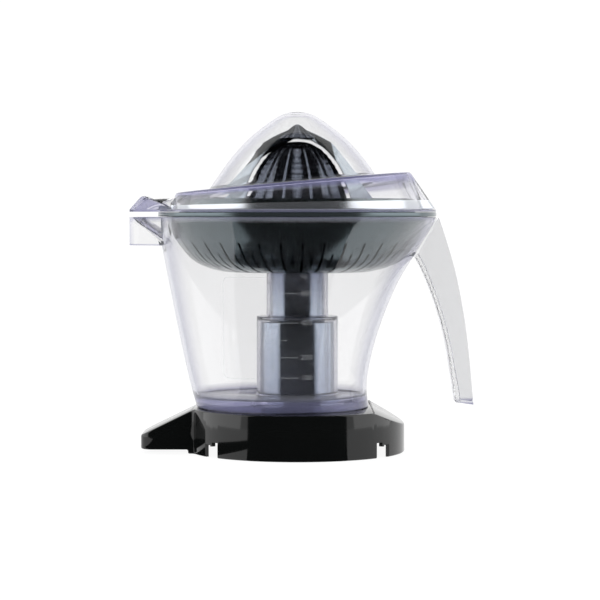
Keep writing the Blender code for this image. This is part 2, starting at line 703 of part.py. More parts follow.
def make_input_coupling(body):
    """Drive dog with four lobes, and the shaft that carries the first sun gear."""
    dog_top = DOG_BOTTOM + DOG_HEIGHT
    step_height = stage_bottom(1) - STAGE_CLEARANCE / 2

    def lobes(angle):
        return DOG_RADIUS - 1.5 * MM * (1 - math.cos(4 * angle)) / 2

    profile = ((0, DOG_BOTTOM), (lobes, DOG_BOTTOM), (lobes, dog_top), (INPUT_SHAFT_RADIUS, dog_top),
               (INPUT_SHAFT_RADIUS, step_height), (INPUT_TIP_RADIUS, step_height),
               (INPUT_TIP_RADIUS, stage_top(1) - MM), (0, stage_top(1) - MM))
    return turned("input_coupling", profile, "bright_steel", 24, body=body)


def circlip_bottom():
    """The circlip sits in its groove below the thrust washer."""
    return COLUMN_TOP - UPPER_BUSH_LENGTH - 2 * GAP - WASHER_THICKNESS - CIRCLIP_THICKNESS


def make_output_shaft(body):
    """Shaft from the output carrier up through the column to the hexagon that drives the cones."""
    carrier_top = stage_top(2) + STAGE_CLEARANCE + CARRIER_THICKNESS + CARRIER_HUB_HEIGHT

    def flats(angle):
        return min(hexagon(angle, HEX_ACROSS_FLATS / 2), OUTPUT_SHAFT_RADIUS)

    start = stage_top(2) + STAGE_CLEARANCE
    groove = (circlip_bottom() - GAP, circlip_bottom() + CIRCLIP_THICKNESS + GAP)
    groove_radius = OUTPUT_SHAFT_RADIUS - 0.7 * MM
    hex_start = COLUMN_TOP + SEAL_HEIGHT + 2 * MM
    profile = ((0, start), (flats, start), (flats, carrier_top), (OUTPUT_SHAFT_RADIUS, carrier_top),
               (OUTPUT_SHAFT_RADIUS, groove[0]), (groove_radius, groove[0]), (groove_radius, groove[1]),
               (OUTPUT_SHAFT_RADIUS, groove[1]), (OUTPUT_SHAFT_RADIUS, hex_start), (flats, hex_start),
               (flats, HEX_TOP - MM), (OUTPUT_SHAFT_RADIUS - 1.2 * MM, HEX_TOP), (0, HEX_TOP))
    return turned("output_shaft", profile, "bright_steel", MEDIUM, body=body)


def make_circlip(body):
    """Open spring ring in the shaft's groove."""
    inner = OUTPUT_SHAFT_RADIUS - 0.4 * MM
    outer = OUTPUT_SHAFT_RADIUS + 1.6 * MM
    start = CIRCLIP_GAP_ANGLE / 2
    sweep = 2 * math.pi - CIRCLIP_GAP_ANGLE
    steps = 20
    points = [polar(outer, start + sweep * step / steps) for step in range(steps + 1)]
    points += [polar(inner, start + sweep * step / steps) for step in reversed(range(steps + 1))]
    return prism("circlip", points, [], circlip_bottom(), circlip_bottom() + CIRCLIP_THICKNESS, "bright_steel",
                 body)


def make_washer(body):
    """Thrust washer between the circlip and the upper bush."""
    bottom = circlip_bottom() + CIRCLIP_THICKNESS + GAP
    bore = round_loop(OUTPUT_SHAFT_RADIUS + GAP, segments=MEDIUM)
    return prism("thrust_washer", round_loop(OUTPUT_SHAFT_RADIUS + 2.4 * MM, segments=MEDIUM), [bore], bottom,
                 bottom + WASHER_THICKNESS, "sintered_bronze", body)


# ---------------------------------------------------------------- jug


def spout_weight(angle):
    """How far round the spout this angle is: 1 in the spout, 0 away from it."""
    return side_weight(angle, math.pi, SPOUT_HALF_ANGLE, SPOUT_FADE_ANGLE)


def jug_ring(radius, z, centre_x=0.0, spout_reach=0.0):
    """A ring of the jug, pulled out to spout_reach at the spout."""
    def reach(angle):
        weight = spout_weight(angle) if spout_reach else 0.0
        return radius + weight * (spout_reach + centre_x - radius)

    return circle(reach, z, FINE, centre_x)


def make_jug(body):
    """Clear jug: side, rim with spout, floor, foot ring and the stepped centre tube."""
    outer = [(JUG_BASE_HEIGHT + share * JUG_HEIGHT, JUG_RIM_RADIUS - inset * MM, centre * MM)
             for share, inset, centre in JUG_SECTIONS]
    foot_radius = JUG_FOOT_RADIUS
    foot_centre = JUG_FOOT_CENTRE
    share = (SPOUT_FLOOR - outer[-1][0]) / (JUG_RIM - outer[-1][0])
    ledge_radius = outer[-1][1] + share * (JUG_RIM_RADIUS - outer[-1][1])
    ledge_centre = outer[-1][2] * (1 - share)
    wide = COLUMN_WIDE_RADIUS + TUBE_GAP
    narrow = COLUMN_NARROW_RADIUS + TUBE_GAP
    underside = JUG_FLOOR - JUG_FLOOR_THICKNESS
    rings = [jug_ring(foot_radius, JUG_BASE_HEIGHT, foot_centre)]
    rings += [jug_ring(radius, z, centre) for z, radius, centre in outer]
    rings += [
        jug_ring(ledge_radius, SPOUT_FLOOR, ledge_centre),
        jug_ring(ledge_radius, SPOUT_FLOOR + GAP, ledge_centre, SPOUT_REACH),
        jug_ring(JUG_RIM_RADIUS, JUG_RIM, 0.0, SPOUT_REACH),
        jug_ring(JUG_RIM_RADIUS - JUG_WALL, JUG_RIM, 0.0, SPOUT_REACH - JUG_WALL),
        jug_ring(JUG_RIM_RADIUS - JUG_WALL, JUG_RIM - 1.5 * MM, 0.0, SPOUT_REACH - 2 * JUG_WALL),
        jug_ring(ledge_radius - JUG_WALL, SPOUT_FLOOR + GAP, ledge_centre),
    ]
    rings += [jug_ring(radius - JUG_WALL, z, centre) for z, radius, centre in reversed(outer[1:])]
    floor_radius = outer[0][1] - JUG_WALL
    floor_centre = outer[0][2]
    rings += [
        jug_ring(floor_radius, JUG_FLOOR + 1.5 * MM, floor_centre),
        jug_ring(floor_radius - 1.5 * MM, JUG_FLOOR, floor_centre),
        jug_ring(wide + TUBE_WALL + 2 * MM, JUG_FLOOR),
        jug_ring(wide + TUBE_WALL, JUG_FLOOR + 2 * MM),
        jug_ring(wide + TUBE_WALL, TUBE_STEP - MM),
        jug_ring(wide + TUBE_WALL - MM, TUBE_STEP),
        jug_ring(narrow + TUBE_WALL, TUBE_STEP),
        jug_ring(narrow + TUBE_WALL, TUBE_TOP),
        jug_ring(narrow, TUBE_TOP),
        jug_ring(narrow, TUBE_STEP - TUBE_WALL),
        jug_ring(wide, TUBE_STEP - TUBE_WALL),
        jug_ring(wide, underside),
        jug_ring(foot_radius - JUG_WALL, underside, foot_centre),
        jug_ring(foot_radius - JUG_WALL, JUG_BASE_HEIGHT, foot_centre),
    ]
    return skin("jug", rings, "clear_plastic", closed=True, body=body)


def make_handle(body):
    """Open-ended channel handle with its web on the finger side."""
    half = HANDLE_WIDTH / 2
    rings = []
    outer_path = smooth_path(handle_edge(HANDLE_OUTER), 2)
    inner_path = smooth_path(handle_edge(HANDLE_INNER), 2)
    for (outer_x, outer_z), (inner_x, inner_z) in zip(outer_path, inner_path):
        inner = Vector((inner_x, 0, inner_z))
        across = Vector((outer_x, 0, outer_z)) - inner
        web = HANDLE_WEB / across.length
        section = ((0, -half), (1, -half), (1, HANDLE_CHEEK - half), (web, HANDLE_CHEEK - half),
                   (web, half - HANDLE_CHEEK), (1, half - HANDLE_CHEEK), (1, half), (0, half))
        rings.append([inner + across * share + Vector((0, y, 0)) for share, y in section])
    return skin("jug_handle", rings, "clear_plastic", body=body)


# ---------------------------------------------------------------- strainer


def make_strainer(body):
    """Bowl with radial slots, a rim that hangs on the jug, an upstand ring and a collar."""
    outer = [(JUG_RIM_RADIUS - inset * MM, STRAINER_RIM_BOTTOM - depth * MM) for inset, depth in STRAINER_PROFILE]
    inner = offset_profile(outer, STRAINER_WALL)
    floor = STRAINER_FLOOR
    upstand_top = STRAINER_RIM_BOTTOM + UPSTAND_HEIGHT
    rim_top = STRAINER_RIM_BOTTOM + STRAINER_RIM_THICKNESS
    collar = COLUMN_NARROW_RADIUS + TUBE_GAP + TUBE_WALL + RUNNING_GAP
    upstand_inner = UPSTAND_RADIUS - UPSTAND_WALL
    outside = [
        (collar, COLLAR_TOP), (collar, floor), *reversed(outer), (outer[0][0], STRAINER_RIM_BOTTOM),
        (JUG_RIM_RADIUS, STRAINER_RIM_BOTTOM),
    ]
    inside = [
        (collar + COLLAR_WALL, COLLAR_TOP), (collar + COLLAR_WALL, floor + STRAINER_WALL),
        *[(radius, max(z, floor + STRAINER_WALL)) for radius, z in reversed(inner)],
        (upstand_inner, rim_top - STRAINER_RIM_THICKNESS / 2), (upstand_inner, upstand_top),
        (UPSTAND_RADIUS, upstand_top), (UPSTAND_RADIUS, rim_top), (JUG_RIM_RADIUS, rim_top),
    ]
    angles = []
    for slot in range(SLOT_COUNT):
        centre = 2 * math.pi * slot / SLOT_COUNT
        half = SLOT_WIDTH / 2 / outer[1][0]
        angles += [centre - half, centre + half]
    rows = outside + list(reversed(inside))
    first_open = 2
    last_open = 2 + len(outer) - 2
    verts = [(*polar(radius, angle), z) for radius, z in rows for angle in angles]
    faces = slotted_faces(len(rows), len(angles), first_open, last_open)
    return add_solid("strainer", verts, faces, "charcoal_plastic", body)


def slotted_faces(rows, columns, first_open, last_open):
    """Faces of a turned wall whose even columns are open between two outer rows.

    Row k of the outside faces row (rows - 1 - k) of the inside, so each slot's cheeks join them.
    """
    faces = []
    for row in range(rows):
        below = (row + 1) % rows
        mirror = rows - 1 - row
        open_row = first_open <= row < last_open or first_open < mirror <= last_open
        for column in range(columns):
            after = (column + 1) % columns
            if open_row and column % 2 == 0:
                continue
            faces.append((row * columns + column, row * columns + after, below * columns + after,
                          below * columns + column))
    for column in range(0, columns, 2):
        after = (column + 1) % columns
        for row in range(first_open, last_open):
            other = rows - 1 - row
            for edge in (column, after):
                faces.append((row * columns + edge, (row + 1) * columns + edge,
                              (other - 1) * columns + edge, other * columns + edge))
        for row in (first_open, last_open):
            other = rows - 1 - row
            faces.append((row * columns + column, row * columns + after, other * columns + after,
                          other * columns + column))
    return faces


# ---------------------------------------------------------------- cones


def ribbed(radius, height):
    """Radius function with RIB_COUNT ridges of this height standing on radius."""
    def reach(angle):
        phase = (angle * RIB_COUNT / (2 * math.pi)) % 1.0
        return radius + height * abs(1 - 2 * phase)

    return reach


def make_small_cone(body):
    """Ribbed cone with a base flange and a hexagonal hub bore."""
    outer = raised(SMALL_CONE_PROFILE, CONE_BASE)
    inner = offset_profile(outer, SMALL_CONE_WALL)
    flange_top = CONE_BASE + CONE_FLANGE_THICKNESS
    rings = [[(0, 0, CONE_BASE + SMALL_CONE_HEIGHT)]]
    for radius, z in outer:
        height = RIB_HEIGHT * min(1.0, radius / outer[3][0])
        rings.append(circle(ribbed(radius - height, height), z, 48))
    hub_roots = [(radius, z) for radius, z in inner if radius > HUB_RADIUS + MM]
    plain = [
        (outer[-1][0], flange_top), (CONE_FLANGE_RADIUS, flange_top), (CONE_FLANGE_RADIUS, CONE_BASE),
        (hub_roots[-1][0], CONE_BASE), *reversed(hub_roots), (HUB_RADIUS, hub_roots[0][1]),
        (HUB_RADIUS, COLLAR_TOP - 2 * MM),
    ]
    rings += [circle(radius, z, 48) for radius, z in plain]

    def bore(angle):
        return hexagon(angle, HEX_ACROSS_FLATS / 2 + GAP)

    rings += [circle(bore, COLLAR_TOP - 2 * MM, 48), circle(bore, HUB_ROOF, 48), [(0, 0, HUB_ROOF)]]
    return skin("small_cone", rings, "charcoal_plastic", body=body)


def make_large_cone(body):
    """Two wings in one arch over the small cone, with a base ring and a ribbed cap."""
    right = raised(WING_OUTLINE, CONE_BASE)
    arch = raised(WING_ARCH, CONE_BASE)
    ring_bottom = CONE_BASE + CONE_FLANGE_THICKNESS + GAP
    ring_top = ring_bottom + CONE_RING_HEIGHT
    low = ring_bottom + CONE_RING_HEIGHT / 2
    outline = [*right, (CONE_RING_OUTER - MM, low), (CONE_RING_INNER + MM, low), *reversed(arch),
               (0, CONE_BASE + WING_ARCH_HEIGHT)]
    mirrored = [(-x, z) for x, z in reversed(outline[:-1])]
    full = outline + mirrored
    wings = prism("large_cone", [(x, -z) for x, z in full], [], -WING_HALF_THICKNESS, WING_HALF_THICKNESS,
                  "charcoal_plastic", body)
    stand_up(wings)
    ring = turned("ring", ((CONE_RING_INNER, ring_bottom), (CONE_RING_OUTER, ring_bottom),
                           (CONE_RING_OUTER, ring_top), (CONE_RING_INNER, ring_top)), "charcoal_plastic",
                  FINE, closed=True)
    combine(wings, ring, "UNION")
    cap_rings = [[(0, 0, CONE_BASE + CAP_HEIGHT)]]
    for radius, z in raised(CAP_PROFILE, CONE_BASE):
        cap_rings.append(circle(ribbed(radius - MM, MM), z, 48))
    cap_bottom = CONE_BASE + WING_ARCH_HEIGHT + GAP
    cap_rings += [circle(CAP_PROFILE[-1][0] * MM, cap_bottom, 48)]
    combine(wings, skin("cap", cap_rings, "charcoal_plastic"), "UNION")
    return wings


def stand_up(item):
    """Turn a flat prism so that its outline's -Y becomes +Z."""
    for vertex in item.data.vertices:
        x, y, z = vertex.co
        vertex.co = (x, z, -y)


# ---------------------------------------------------------------- lid


def top_height(x):
    """Height of the lid's slanted top at this X."""
    return LID_TOP_CENTRE + LID_TOP_SLOPE * x


def ridge_weight(angle):
    """How far round the thumb ridge this angle is."""
    return side_weight(angle, 0.0, RIDGE_HALF_ANGLE, RIDGE_FADE_ANGLE)


def pulled_ring(radius, z, spout=None, ridge=None):
    """A ring pulled to (reach, z) at the spout cover and to a reach at the thumb ridge."""
    points = []
    for step in range(FINE):
        angle = 2 * math.pi * step / FINE
        reach = radius
        height = z
        if spout:
            reach += spout_weight(angle) * (spout[0] - radius)
            height += spout_weight(angle) * (spout[1] - z)
        if ridge:
            reach += ridge_weight(angle) * (ridge - radius)
        points.append((*polar(reach, angle), height))
    return points


def slanted_ring(radius_for, drop):
    """A ring on the slanted top, moved down by drop, at the radius that radius_for gives for its height."""
    points = []
    for step in range(FINE):
        angle = 2 * math.pi * step / FINE
        z = LID_TOP_CENTRE
        for _ in range(8):
            z = top_height(radius_for(z) * math.cos(angle)) - drop
        points.append((*polar(radius_for(z), angle), z))
    return points


def dome_ring(profile, base, tip, share):
    """A ring of the dome at this share of the way from its slanted foot to its tip."""
    points = []
    for x, y, z in base:
        angle = math.atan2(y, x)
        height = z + (tip - z) * share
        points.append((*polar(radius_at(profile, height), angle), height))
    return points


def make_lid(body):
    """Clear lid in one moulding: flange, limb, slanted top, dome, spout cover and thumb ridge."""
    tip = LID_BOTTOM + DOME_HEIGHT
    cover_top = LID_BOTTOM + SPOUT_COVER_HEIGHT
    outer_dome = [(0.0, tip), *raised(DOME_PROFILE, LID_BOTTOM)]
    inner_dome = offset_profile(outer_dome, LID_WALL)
    inner_dome[0] = (0.0, tip - LID_WALL)
    flange_top = LID_BOTTOM + LID_FLANGE_THICKNESS

    def limb(z):
        return LID_FOOT_RADIUS - LID_LIMB_SLOPE * (z - flange_top)

    shares = (0.22, 0.45, 0.68, 0.88)
    foot_out = slanted_ring(lambda z: radius_at(outer_dome, z), 0.0)
    foot_in = slanted_ring(lambda z: radius_at(inner_dome, z), LID_WALL)
    rings = [[(0, 0, tip)]]
    rings += [dome_ring(outer_dome, foot_out, tip, share) for share in reversed(shares)]
    rings += [
        foot_out,
        slanted_ring(limb, 0.0),
        pulled_ring(LID_FOOT_RADIUS, flange_top, (SPOUT_COVER_REACH, cover_top), RIDGE_REACH),
        pulled_ring(JUG_RIM_RADIUS, flange_top, (SPOUT_REACH, flange_top)),
        pulled_ring(JUG_RIM_RADIUS, LID_BOTTOM, (SPOUT_REACH, LID_BOTTOM)),
        pulled_ring(LID_FOOT_RADIUS - LID_WALL, LID_BOTTOM, (SPOUT_REACH - LID_WALL, LID_BOTTOM)),
        pulled_ring(LID_FOOT_RADIUS - LID_WALL, flange_top,
                    (SPOUT_COVER_REACH - LID_WALL, cover_top - LID_WALL), RIDGE_REACH - LID_WALL),
        slanted_ring(lambda z: limb(z) - LID_WALL, LID_WALL),
        foot_in,
    ]
    rings += [dome_ring(inner_dome, foot_in, tip - LID_WALL, share) for share in shares]
    rings += [[(0, 0, tip - LID_WALL)]]
    return skin("lid", rings, "clear_plastic", body=body)


# ---------------------------------------------------------------- assembly


def make_fixed_parts():
    """Everything that stays with the base."""
    make_base_shell()
    make_bottom_cover()
    for number, place in enumerate(cover_screw_places(), start=1):
        make_screw(f"cover_screw_{number}", place, COVER_HEIGHT)
    make_column()
    for number, place in enumerate(column_screw_places(), start=1):
        make_screw(f"column_screw_{number}", place, COLUMN_FLANGE_BOTTOM)
    make_gearbox_cover()
    for name, seat, length in (("input_bush", COVER_HEIGHT, COVER_THICKNESS + 1.5 * MM),
                               ("lower_bush", GEARBOX_FLOOR, GEARBOX_COVER_THICKNESS)):
        make_bush(name, INPUT_SHAFT_RADIUS, seat - GAP, seat + length, RUNNING_GAP)
    make_bush("upper_bush", OUTPUT_SHAFT_RADIUS, COLUMN_TOP - UPPER_BUSH_LENGTH, COLUMN_TOP, GAP)
    make_seal()
    make_ring_gear()


def make_drive():
    """Input, both planetary stages and the output shaft."""
    input_body = add_body("input_body")
    make_input_coupling(input_body)
    make_sun(1, INPUT_TIP_RADIUS + GAP, input_body)
    carrier_body = add_body("carrier_body")
    make_carrier_1(carrier_body)
    make_pins(1, carrier_body)
    make_planets(1, carrier_body)
    make_sun(2, INPUT_TIP_RADIUS + GAP, carrier_body)
    output_body = add_body("output_body")
    make_output_carrier(output_body)
    make_pins(2, output_body)
    make_planets(2, output_body)
    make_output_shaft(output_body)
    make_circlip(output_body)
    make_washer(output_body)


def make_lift_off_parts():
    """Jug, strainer, cones and lid, which lift off in turn."""
    jug_body = add_body("jug_body")
    make_jug(jug_body)
    make_handle(jug_body)
    strainer_body = add_body("strainer_body", jug_body)
    make_strainer(strainer_body)
    cone_body = add_body("small_cone_body", strainer_body)
    make_small_cone(cone_body)
    large_cone_body = add_body("large_cone_body", cone_body)
    make_large_cone(large_cone_body)
    lid_body = add_body("lid_body", strainer_body)
    make_lid(lid_body)


def main():
    """Build the whole attachment."""
    clear_scene()
    make_fixed_parts()
    make_drive()
    make_lift_off_parts()


main()
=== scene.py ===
"""Looks of the citrus press attachment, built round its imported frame.

Metres, +Z up along the drive axis. The spout points along -X and the handle along +X.
"""

import logging
import math
from contextlib import contextmanager
from dataclasses import dataclass
from enum import Enum
from typing import Callable, Iterator, Optional, Sequence, Union

import bmesh
import bpy
import numpy as np
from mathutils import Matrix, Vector


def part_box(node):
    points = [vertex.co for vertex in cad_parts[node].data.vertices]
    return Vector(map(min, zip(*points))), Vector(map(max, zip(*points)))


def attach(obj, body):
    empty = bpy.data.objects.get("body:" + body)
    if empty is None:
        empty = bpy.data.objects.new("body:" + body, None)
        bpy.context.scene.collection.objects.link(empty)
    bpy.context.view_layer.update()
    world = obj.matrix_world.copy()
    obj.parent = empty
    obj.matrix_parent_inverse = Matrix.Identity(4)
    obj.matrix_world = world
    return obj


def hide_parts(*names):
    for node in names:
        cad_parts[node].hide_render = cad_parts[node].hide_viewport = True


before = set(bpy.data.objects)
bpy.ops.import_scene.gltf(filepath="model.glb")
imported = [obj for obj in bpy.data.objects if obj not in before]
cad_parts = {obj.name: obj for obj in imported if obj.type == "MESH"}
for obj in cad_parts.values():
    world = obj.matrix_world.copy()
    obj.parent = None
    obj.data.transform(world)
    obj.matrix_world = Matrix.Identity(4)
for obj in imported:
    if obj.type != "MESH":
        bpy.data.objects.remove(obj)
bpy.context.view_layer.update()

LOG = logging.getLogger("citrus_press")
MM = 0.001
FULL_TURN = 2 * math.pi

Colour = tuple[float, float, float]
Point2 = tuple[float, float]
Point3 = tuple[float, float, float]
Mover = Callable[[np.ndarray, np.ndarray, np.ndarray, dict], tuple]


# ---------------------------------------------------------------- shader maths


class Value:
    """A shader socket that takes part in Python arithmetic."""

    def __init__(self, graph: "Graph", socket: bpy.types.NodeSocket) -> None:
        """Wrap one output socket of a graph."""
        self.graph = graph
        self.socket = socket

    def _maths(self, operation: str, *terms: Union["Value", float]) -> "Value":
        """Add a Math node.

        Args:
            operation: The Math node's operation.
            *terms: Its inputs, in order.

        Returns:
            The node's result.
        """
        return self.graph.node("ShaderNodeMath", {"operation": operation}, dict(enumerate(terms)))

    def __add__(self, other: Union["Value", float]) -> "Value":
        """Add."""
        return self._maths("ADD", self, other)

    __radd__ = __add__

    def __mul__(self, other: Union["Value", float]) -> "Value":
        """Multiply."""
        return self._maths("MULTIPLY", self, other)

    __rmul__ = __mul__

    def larger(self, other: Union["Value", float]) -> "Value":
        """The larger of two."""
        return self._maths("MAXIMUM", self, other)

    def step(self, low: float, high: float) -> "Value":
        """Rise smoothly from 0 at low to 1 at high.

        Args:
            low: Where the rise starts.
            high: Where it ends.

        Returns:
            The clamped result.
        """
        return self.graph.node("ShaderNodeMapRange", {"interpolation_type": "SMOOTHSTEP"},
                               {"Value": self, "From Min": low, "From Max": high})


class Graph:
    """The node tree of one material."""

    def __init__(self, name: str) -> None:
        """Start a material of this name with an empty tree."""
        self.material = bpy.data.materials.new(name)
        self.material.use_nodes = True
        self.tree = self.material.node_tree
        self.tree.nodes.clear()

    def node(self, kind: str, settings: Optional[dict] = None, sockets: Optional[dict] = None,
             output: Union[int, str] = 0) -> Value:
        """Add a node.

        Args:
            kind: The node's type.
            settings: Its properties, set first.
            sockets: Values or links of its inputs, by name or number.
            output: The output to hand back.

        Returns:
            The chosen output.
        """
        made = self.tree.nodes.new(kind)
        for key, value in (settings or {}).items():
            setattr(made, key, value)
        for key, value in (sockets or {}).items():
            socket = made.inputs[key]
            if isinstance(value, Value):
                self.tree.links.new(value.socket, socket)
            elif socket.type == "RGBA" and len(value) == 3:
                socket.default_value = (*value, 1.0)
            else:
                socket.default_value = value
        return Value(self, made.outputs[output])

    def place(self, stretch: Optional[Point3] = None) -> Value:
        """Object coordinates, stretched if asked.

        Args:
            stretch: Scale along X, Y and Z.

        Returns:
            The coordinates.
        """
        here = self.node("ShaderNodeTexCoord", output="Object")
        if stretch:
            here = self.node("ShaderNodeMapping", None, {"Vector": here, "Scale": stretch})
        return here

    def noise(self, place: Value, scale: float, detail: float = 2.0) -> Value:
        """Cloudy noise from 0 to 1.

        Args:
            place: Where it is read.
            scale: How fine it is, in clouds per metre.
            detail: How many finer layers it has.

        Returns:
            The noise.
        """
        return self.node("ShaderNodeTexNoise", None, {"Vector": place, "Scale": scale, "Detail": detail})

    def blend(self, first: Union[Value, Colour], second: Union[Value, Colour], share: Value) -> Value:
        """Mix two colours.

        Args:
            first: The colour at share 0.
            second: The colour at share 1.
            share: How much of the second.

        Returns:
            The mixed colour.
        """
        return self.node("ShaderNodeMix", {"data_type": "RGBA"}, {0: share, 6: first, 7: second}, 2)

    def bump(self, height: Value, strength: float, distance: float) -> Value:
        """Turn a height into a bent normal.

        Args:
            height: The height, from 0 to 1.
            strength: How strong the bump is.
            distance: How deep it is, in metres.

        Returns:
            The normal.
        """
        return self.node("ShaderNodeBump", None,
                         {"Height": height, "Strength": strength, "Distance": distance})

    def surface(self, sockets: dict) -> Value:
        """A Principled surface with these sockets."""
        return self.node("ShaderNodeBsdfPrincipled", None, sockets)

    def close(self, shader: Value) -> bpy.types.Material:
        """Give the shader to the output and hand the material back."""
        output = self.tree.nodes.new("ShaderNodeOutputMaterial")
        self.tree.links.new(shader.socket, output.inputs["Surface"])
        return self.material


def scaled(colour: Colour, factor: float) -> Colour:
    """A colour made lighter or darker by a factor."""
    return tuple(channel * factor for channel in colour)


# ---------------------------------------------------------------- finishes


@dataclass(frozen=True)
class MouldedPlastic:
    """Opaque injection-moulded plastic: faint flow clouds, a fine grain and an uneven gloss."""

    name: str
    colour: Colour
    roughness: float
    clouding: float = 0.10
    gloss: float = 1.5
    pearl: float = 0.0
    grain: float = 0.15
    grain_scale: float = 2600.0
    grain_depth: float = 0.01 * MM
    flow: Point3 = (1.0, 1.0, 0.35)

    def build(self) -> bpy.types.Material:
        """Make the material."""
        graph = Graph(self.name)
        cloud = graph.noise(graph.place(self.flow), 45.0, 4.0)
        fine = graph.noise(graph.place(), self.grain_scale, 2.0)
        dark, light = (scaled(self.colour, 1 + sign * self.clouding) for sign in (-1, 1))
        colour = graph.blend(dark, light, cloud)
        rough = self.roughness * (0.8 + cloud * 0.25 + fine * 0.15)
        return graph.close(graph.surface({
            "Base Color": colour, "Roughness": rough, "IOR": self.gloss, "Metallic": self.pearl,
            "Normal": graph.bump(fine, self.grain, self.grain_depth)}))


@dataclass(frozen=True)
class ClearPlastic:
    """Clear moulded plastic, cool along its edges and faintly milky, with a painted white glint where the
    lid's foot pipes and reflects light.

    The edge_tint attribute marks edges; a wall seen on end takes their colour too.
    """

    name: str
    body: Colour = (0.905, 0.905, 0.91)
    edge: Colour = (0.38, 0.375, 0.55)
    # milk is the colour of faint milkiness and also of the painted white glint on the lid's foot.
    milk: Colour = (0.72, 0.75, 0.79)
    edge_milk: Colour = (0.30, 0.305, 0.50)
    shade: float = 0.9
    roughness: float = 0.015
    ior: float = 1.42

    def build(self) -> bpy.types.Material:
        """Make the material."""
        graph = Graph(self.name)
        cloud = graph.noise(graph.place(), 30.0, 3.0)
        facing = graph.node("ShaderNodeLayerWeight", None, {"Blend": 0.5}, "Facing")
        marked = graph.node("ShaderNodeAttribute", {"attribute_name": "edge_tint"}, output="Fac")
        haze = graph.node("ShaderNodeAttribute", {"attribute_name": "haze"}, output="Fac")
        grazing = facing.step(0.44, 0.93) * self.shade
        share = marked.larger(grazing) * (0.92 + cloud * 0.16)
        ripple = graph.bump(cloud, 0.25, 0.05 * MM)
        clear = graph.surface({
            "Base Color": graph.blend(self.body, self.edge, share), "IOR": self.ior,
            "Roughness": self.roughness + cloud * 0.02, "Transmission Weight": 1.0, "Normal": ripple})
        # Painted reflection: from haze 0.5 up this surface turns metallic, a white glint painted on the lid's
        # foot; lower values give plain milkiness.
        milk_and_glint_surface = graph.surface({
            "Base Color": graph.blend(self.milk, self.edge_milk, marked), "IOR": self.ior,
            "Metallic": haze.step(0.3, 0.6) * 0.9, "Roughness": 0.16 + cloud * 0.06, "Normal": ripple})
        return graph.close(graph.node("ShaderNodeMixShader", None, {
            0: haze.larger(marked * 0.35).larger(grazing * 0.25), 1: clear, 2: milk_and_glint_surface}))


class Lay(Enum):
    """How a machined metal's marks run."""

    ROUND = "round"
    PLAIN = "plain"


@dataclass(frozen=True)
class GroundSteel:
    """Machined steel with fine tool marks."""

    name: str
    colour: Colour = (0.60, 0.60, 0.60)
    roughness: float = 0.24
    lay: Lay = Lay.ROUND

    def build(self) -> bpy.types.Material:
        """Make the material."""
        graph = Graph(self.name)
        stretch = (40.0, 40.0, 900.0) if self.lay is Lay.ROUND else (220.0, 220.0, 220.0)
        marks = graph.noise(graph.place(stretch), 4.0, 3.0)
        cloud = graph.noise(graph.place(), 120.0, 3.0)
        colour = graph.blend(scaled(self.colour, 0.85), scaled(self.colour, 1.1), cloud)
        return graph.close(graph.surface({
            "Base Color": colour, "Metallic": 1.0, "Roughness": self.roughness * (0.7 + marks * 0.6),
            "Normal": graph.bump(marks, 0.3, 0.01 * MM)}))


@dataclass(frozen=True)
class SinteredBronze:
    """Oil-filled bronze with open pores."""

    name: str
    colour: Colour = (0.42, 0.27, 0.12)

    def build(self) -> bpy.types.Material:
        """Make the material."""
        graph = Graph(self.name)
        pores = graph.node("ShaderNodeTexVoronoi", None, {"Vector": graph.place(), "Scale": 2400.0},
                           "Distance")
        cloud = graph.noise(graph.place(), 300.0, 3.0)
        colour = graph.blend(scaled(self.colour, 0.5), self.colour, pores.step(0.1, 0.45))
        return graph.close(graph.surface({
            "Base Color": colour, "Metallic": 0.9, "Roughness": 0.35 + cloud * 0.25,
            "Normal": graph.bump(pores, 0.4, 0.04 * MM)}))


@dataclass(frozen=True)
class SealRubber:
    """Matt black rubber with a bloom of dust."""

    name: str
    colour: Colour = (0.02, 0.02, 0.021)

    def build(self) -> bpy.types.Material:
        """Make the material."""
        graph = Graph(self.name)
        bloom = graph.noise(graph.place(), 260.0, 5.0)
        colour = graph.blend(self.colour, (0.05, 0.05, 0.05), bloom.step(0.5, 0.8))
        return graph.close(graph.surface({
            "Base Color": colour, "Roughness": 0.6 + bloom * 0.25,
            "Normal": graph.bump(graph.noise(graph.place(), 1800.0), 0.5, 0.03 * MM)}))


@dataclass(frozen=True)
class PrintedInk:
    """Thin white ink that lets some of what is behind it through."""

    name: str
    colour: Colour = (0.75, 0.77, 0.80)
    cover: float = 0.13

    def build(self) -> bpy.types.Material:
        """Make the material."""
        graph = Graph(self.name)
        patch = graph.noise(graph.place(), 900.0, 3.0)
        colour = graph.blend(scaled(self.colour, 0.78), self.colour, patch.step(0.35, 0.6))
        return graph.close(graph.surface({
            "Base Color": colour, "Roughness": 0.45 + patch * 0.2, "Alpha": self.cover * (0.7 + patch * 0.6),
            "Normal": graph.bump(patch, 0.3, 0.01 * MM)}))


@dataclass(frozen=True)
class StagePaint:
    """Plain pale surface of the light table and the wall behind."""

    name: str
    colour: Colour = (0.12, 0.12, 0.12)
    glow: float = 0.93

    def build(self) -> bpy.types.Material:
        """Make the material."""
        graph = Graph(self.name)
        cloud = graph.noise(graph.place(), 2.0, 2.0)
        colour = graph.blend(scaled(self.colour, 0.97), self.colour, cloud)
        return graph.close(graph.surface({
            "Base Color": colour, "Roughness": 0.9, "Specular IOR Level": 0.0,
            "Emission Color": (1.0, 1.0, 1.0), "Emission Strength": self.glow}))


@dataclass(frozen=True)
class CardPaint:
    """Black card that only reflections meet: light that never bounced off a gloss passes through it."""

    name: str
    colour: Colour = (0.004, 0.004, 0.004)

    def build(self) -> bpy.types.Material:
        """Make the material."""
        graph = Graph(self.name)
        bounces = graph.node("ShaderNodeLightPath", output="Glossy Depth")
        through = graph.node("ShaderNodeBsdfTransparent")
        dark = graph.surface({"Base Color": self.colour, "Specular IOR Level": 0.0})
        return graph.close(graph.node("ShaderNodeMixShader", None, {0: bounces, 1: through, 2: dark}))


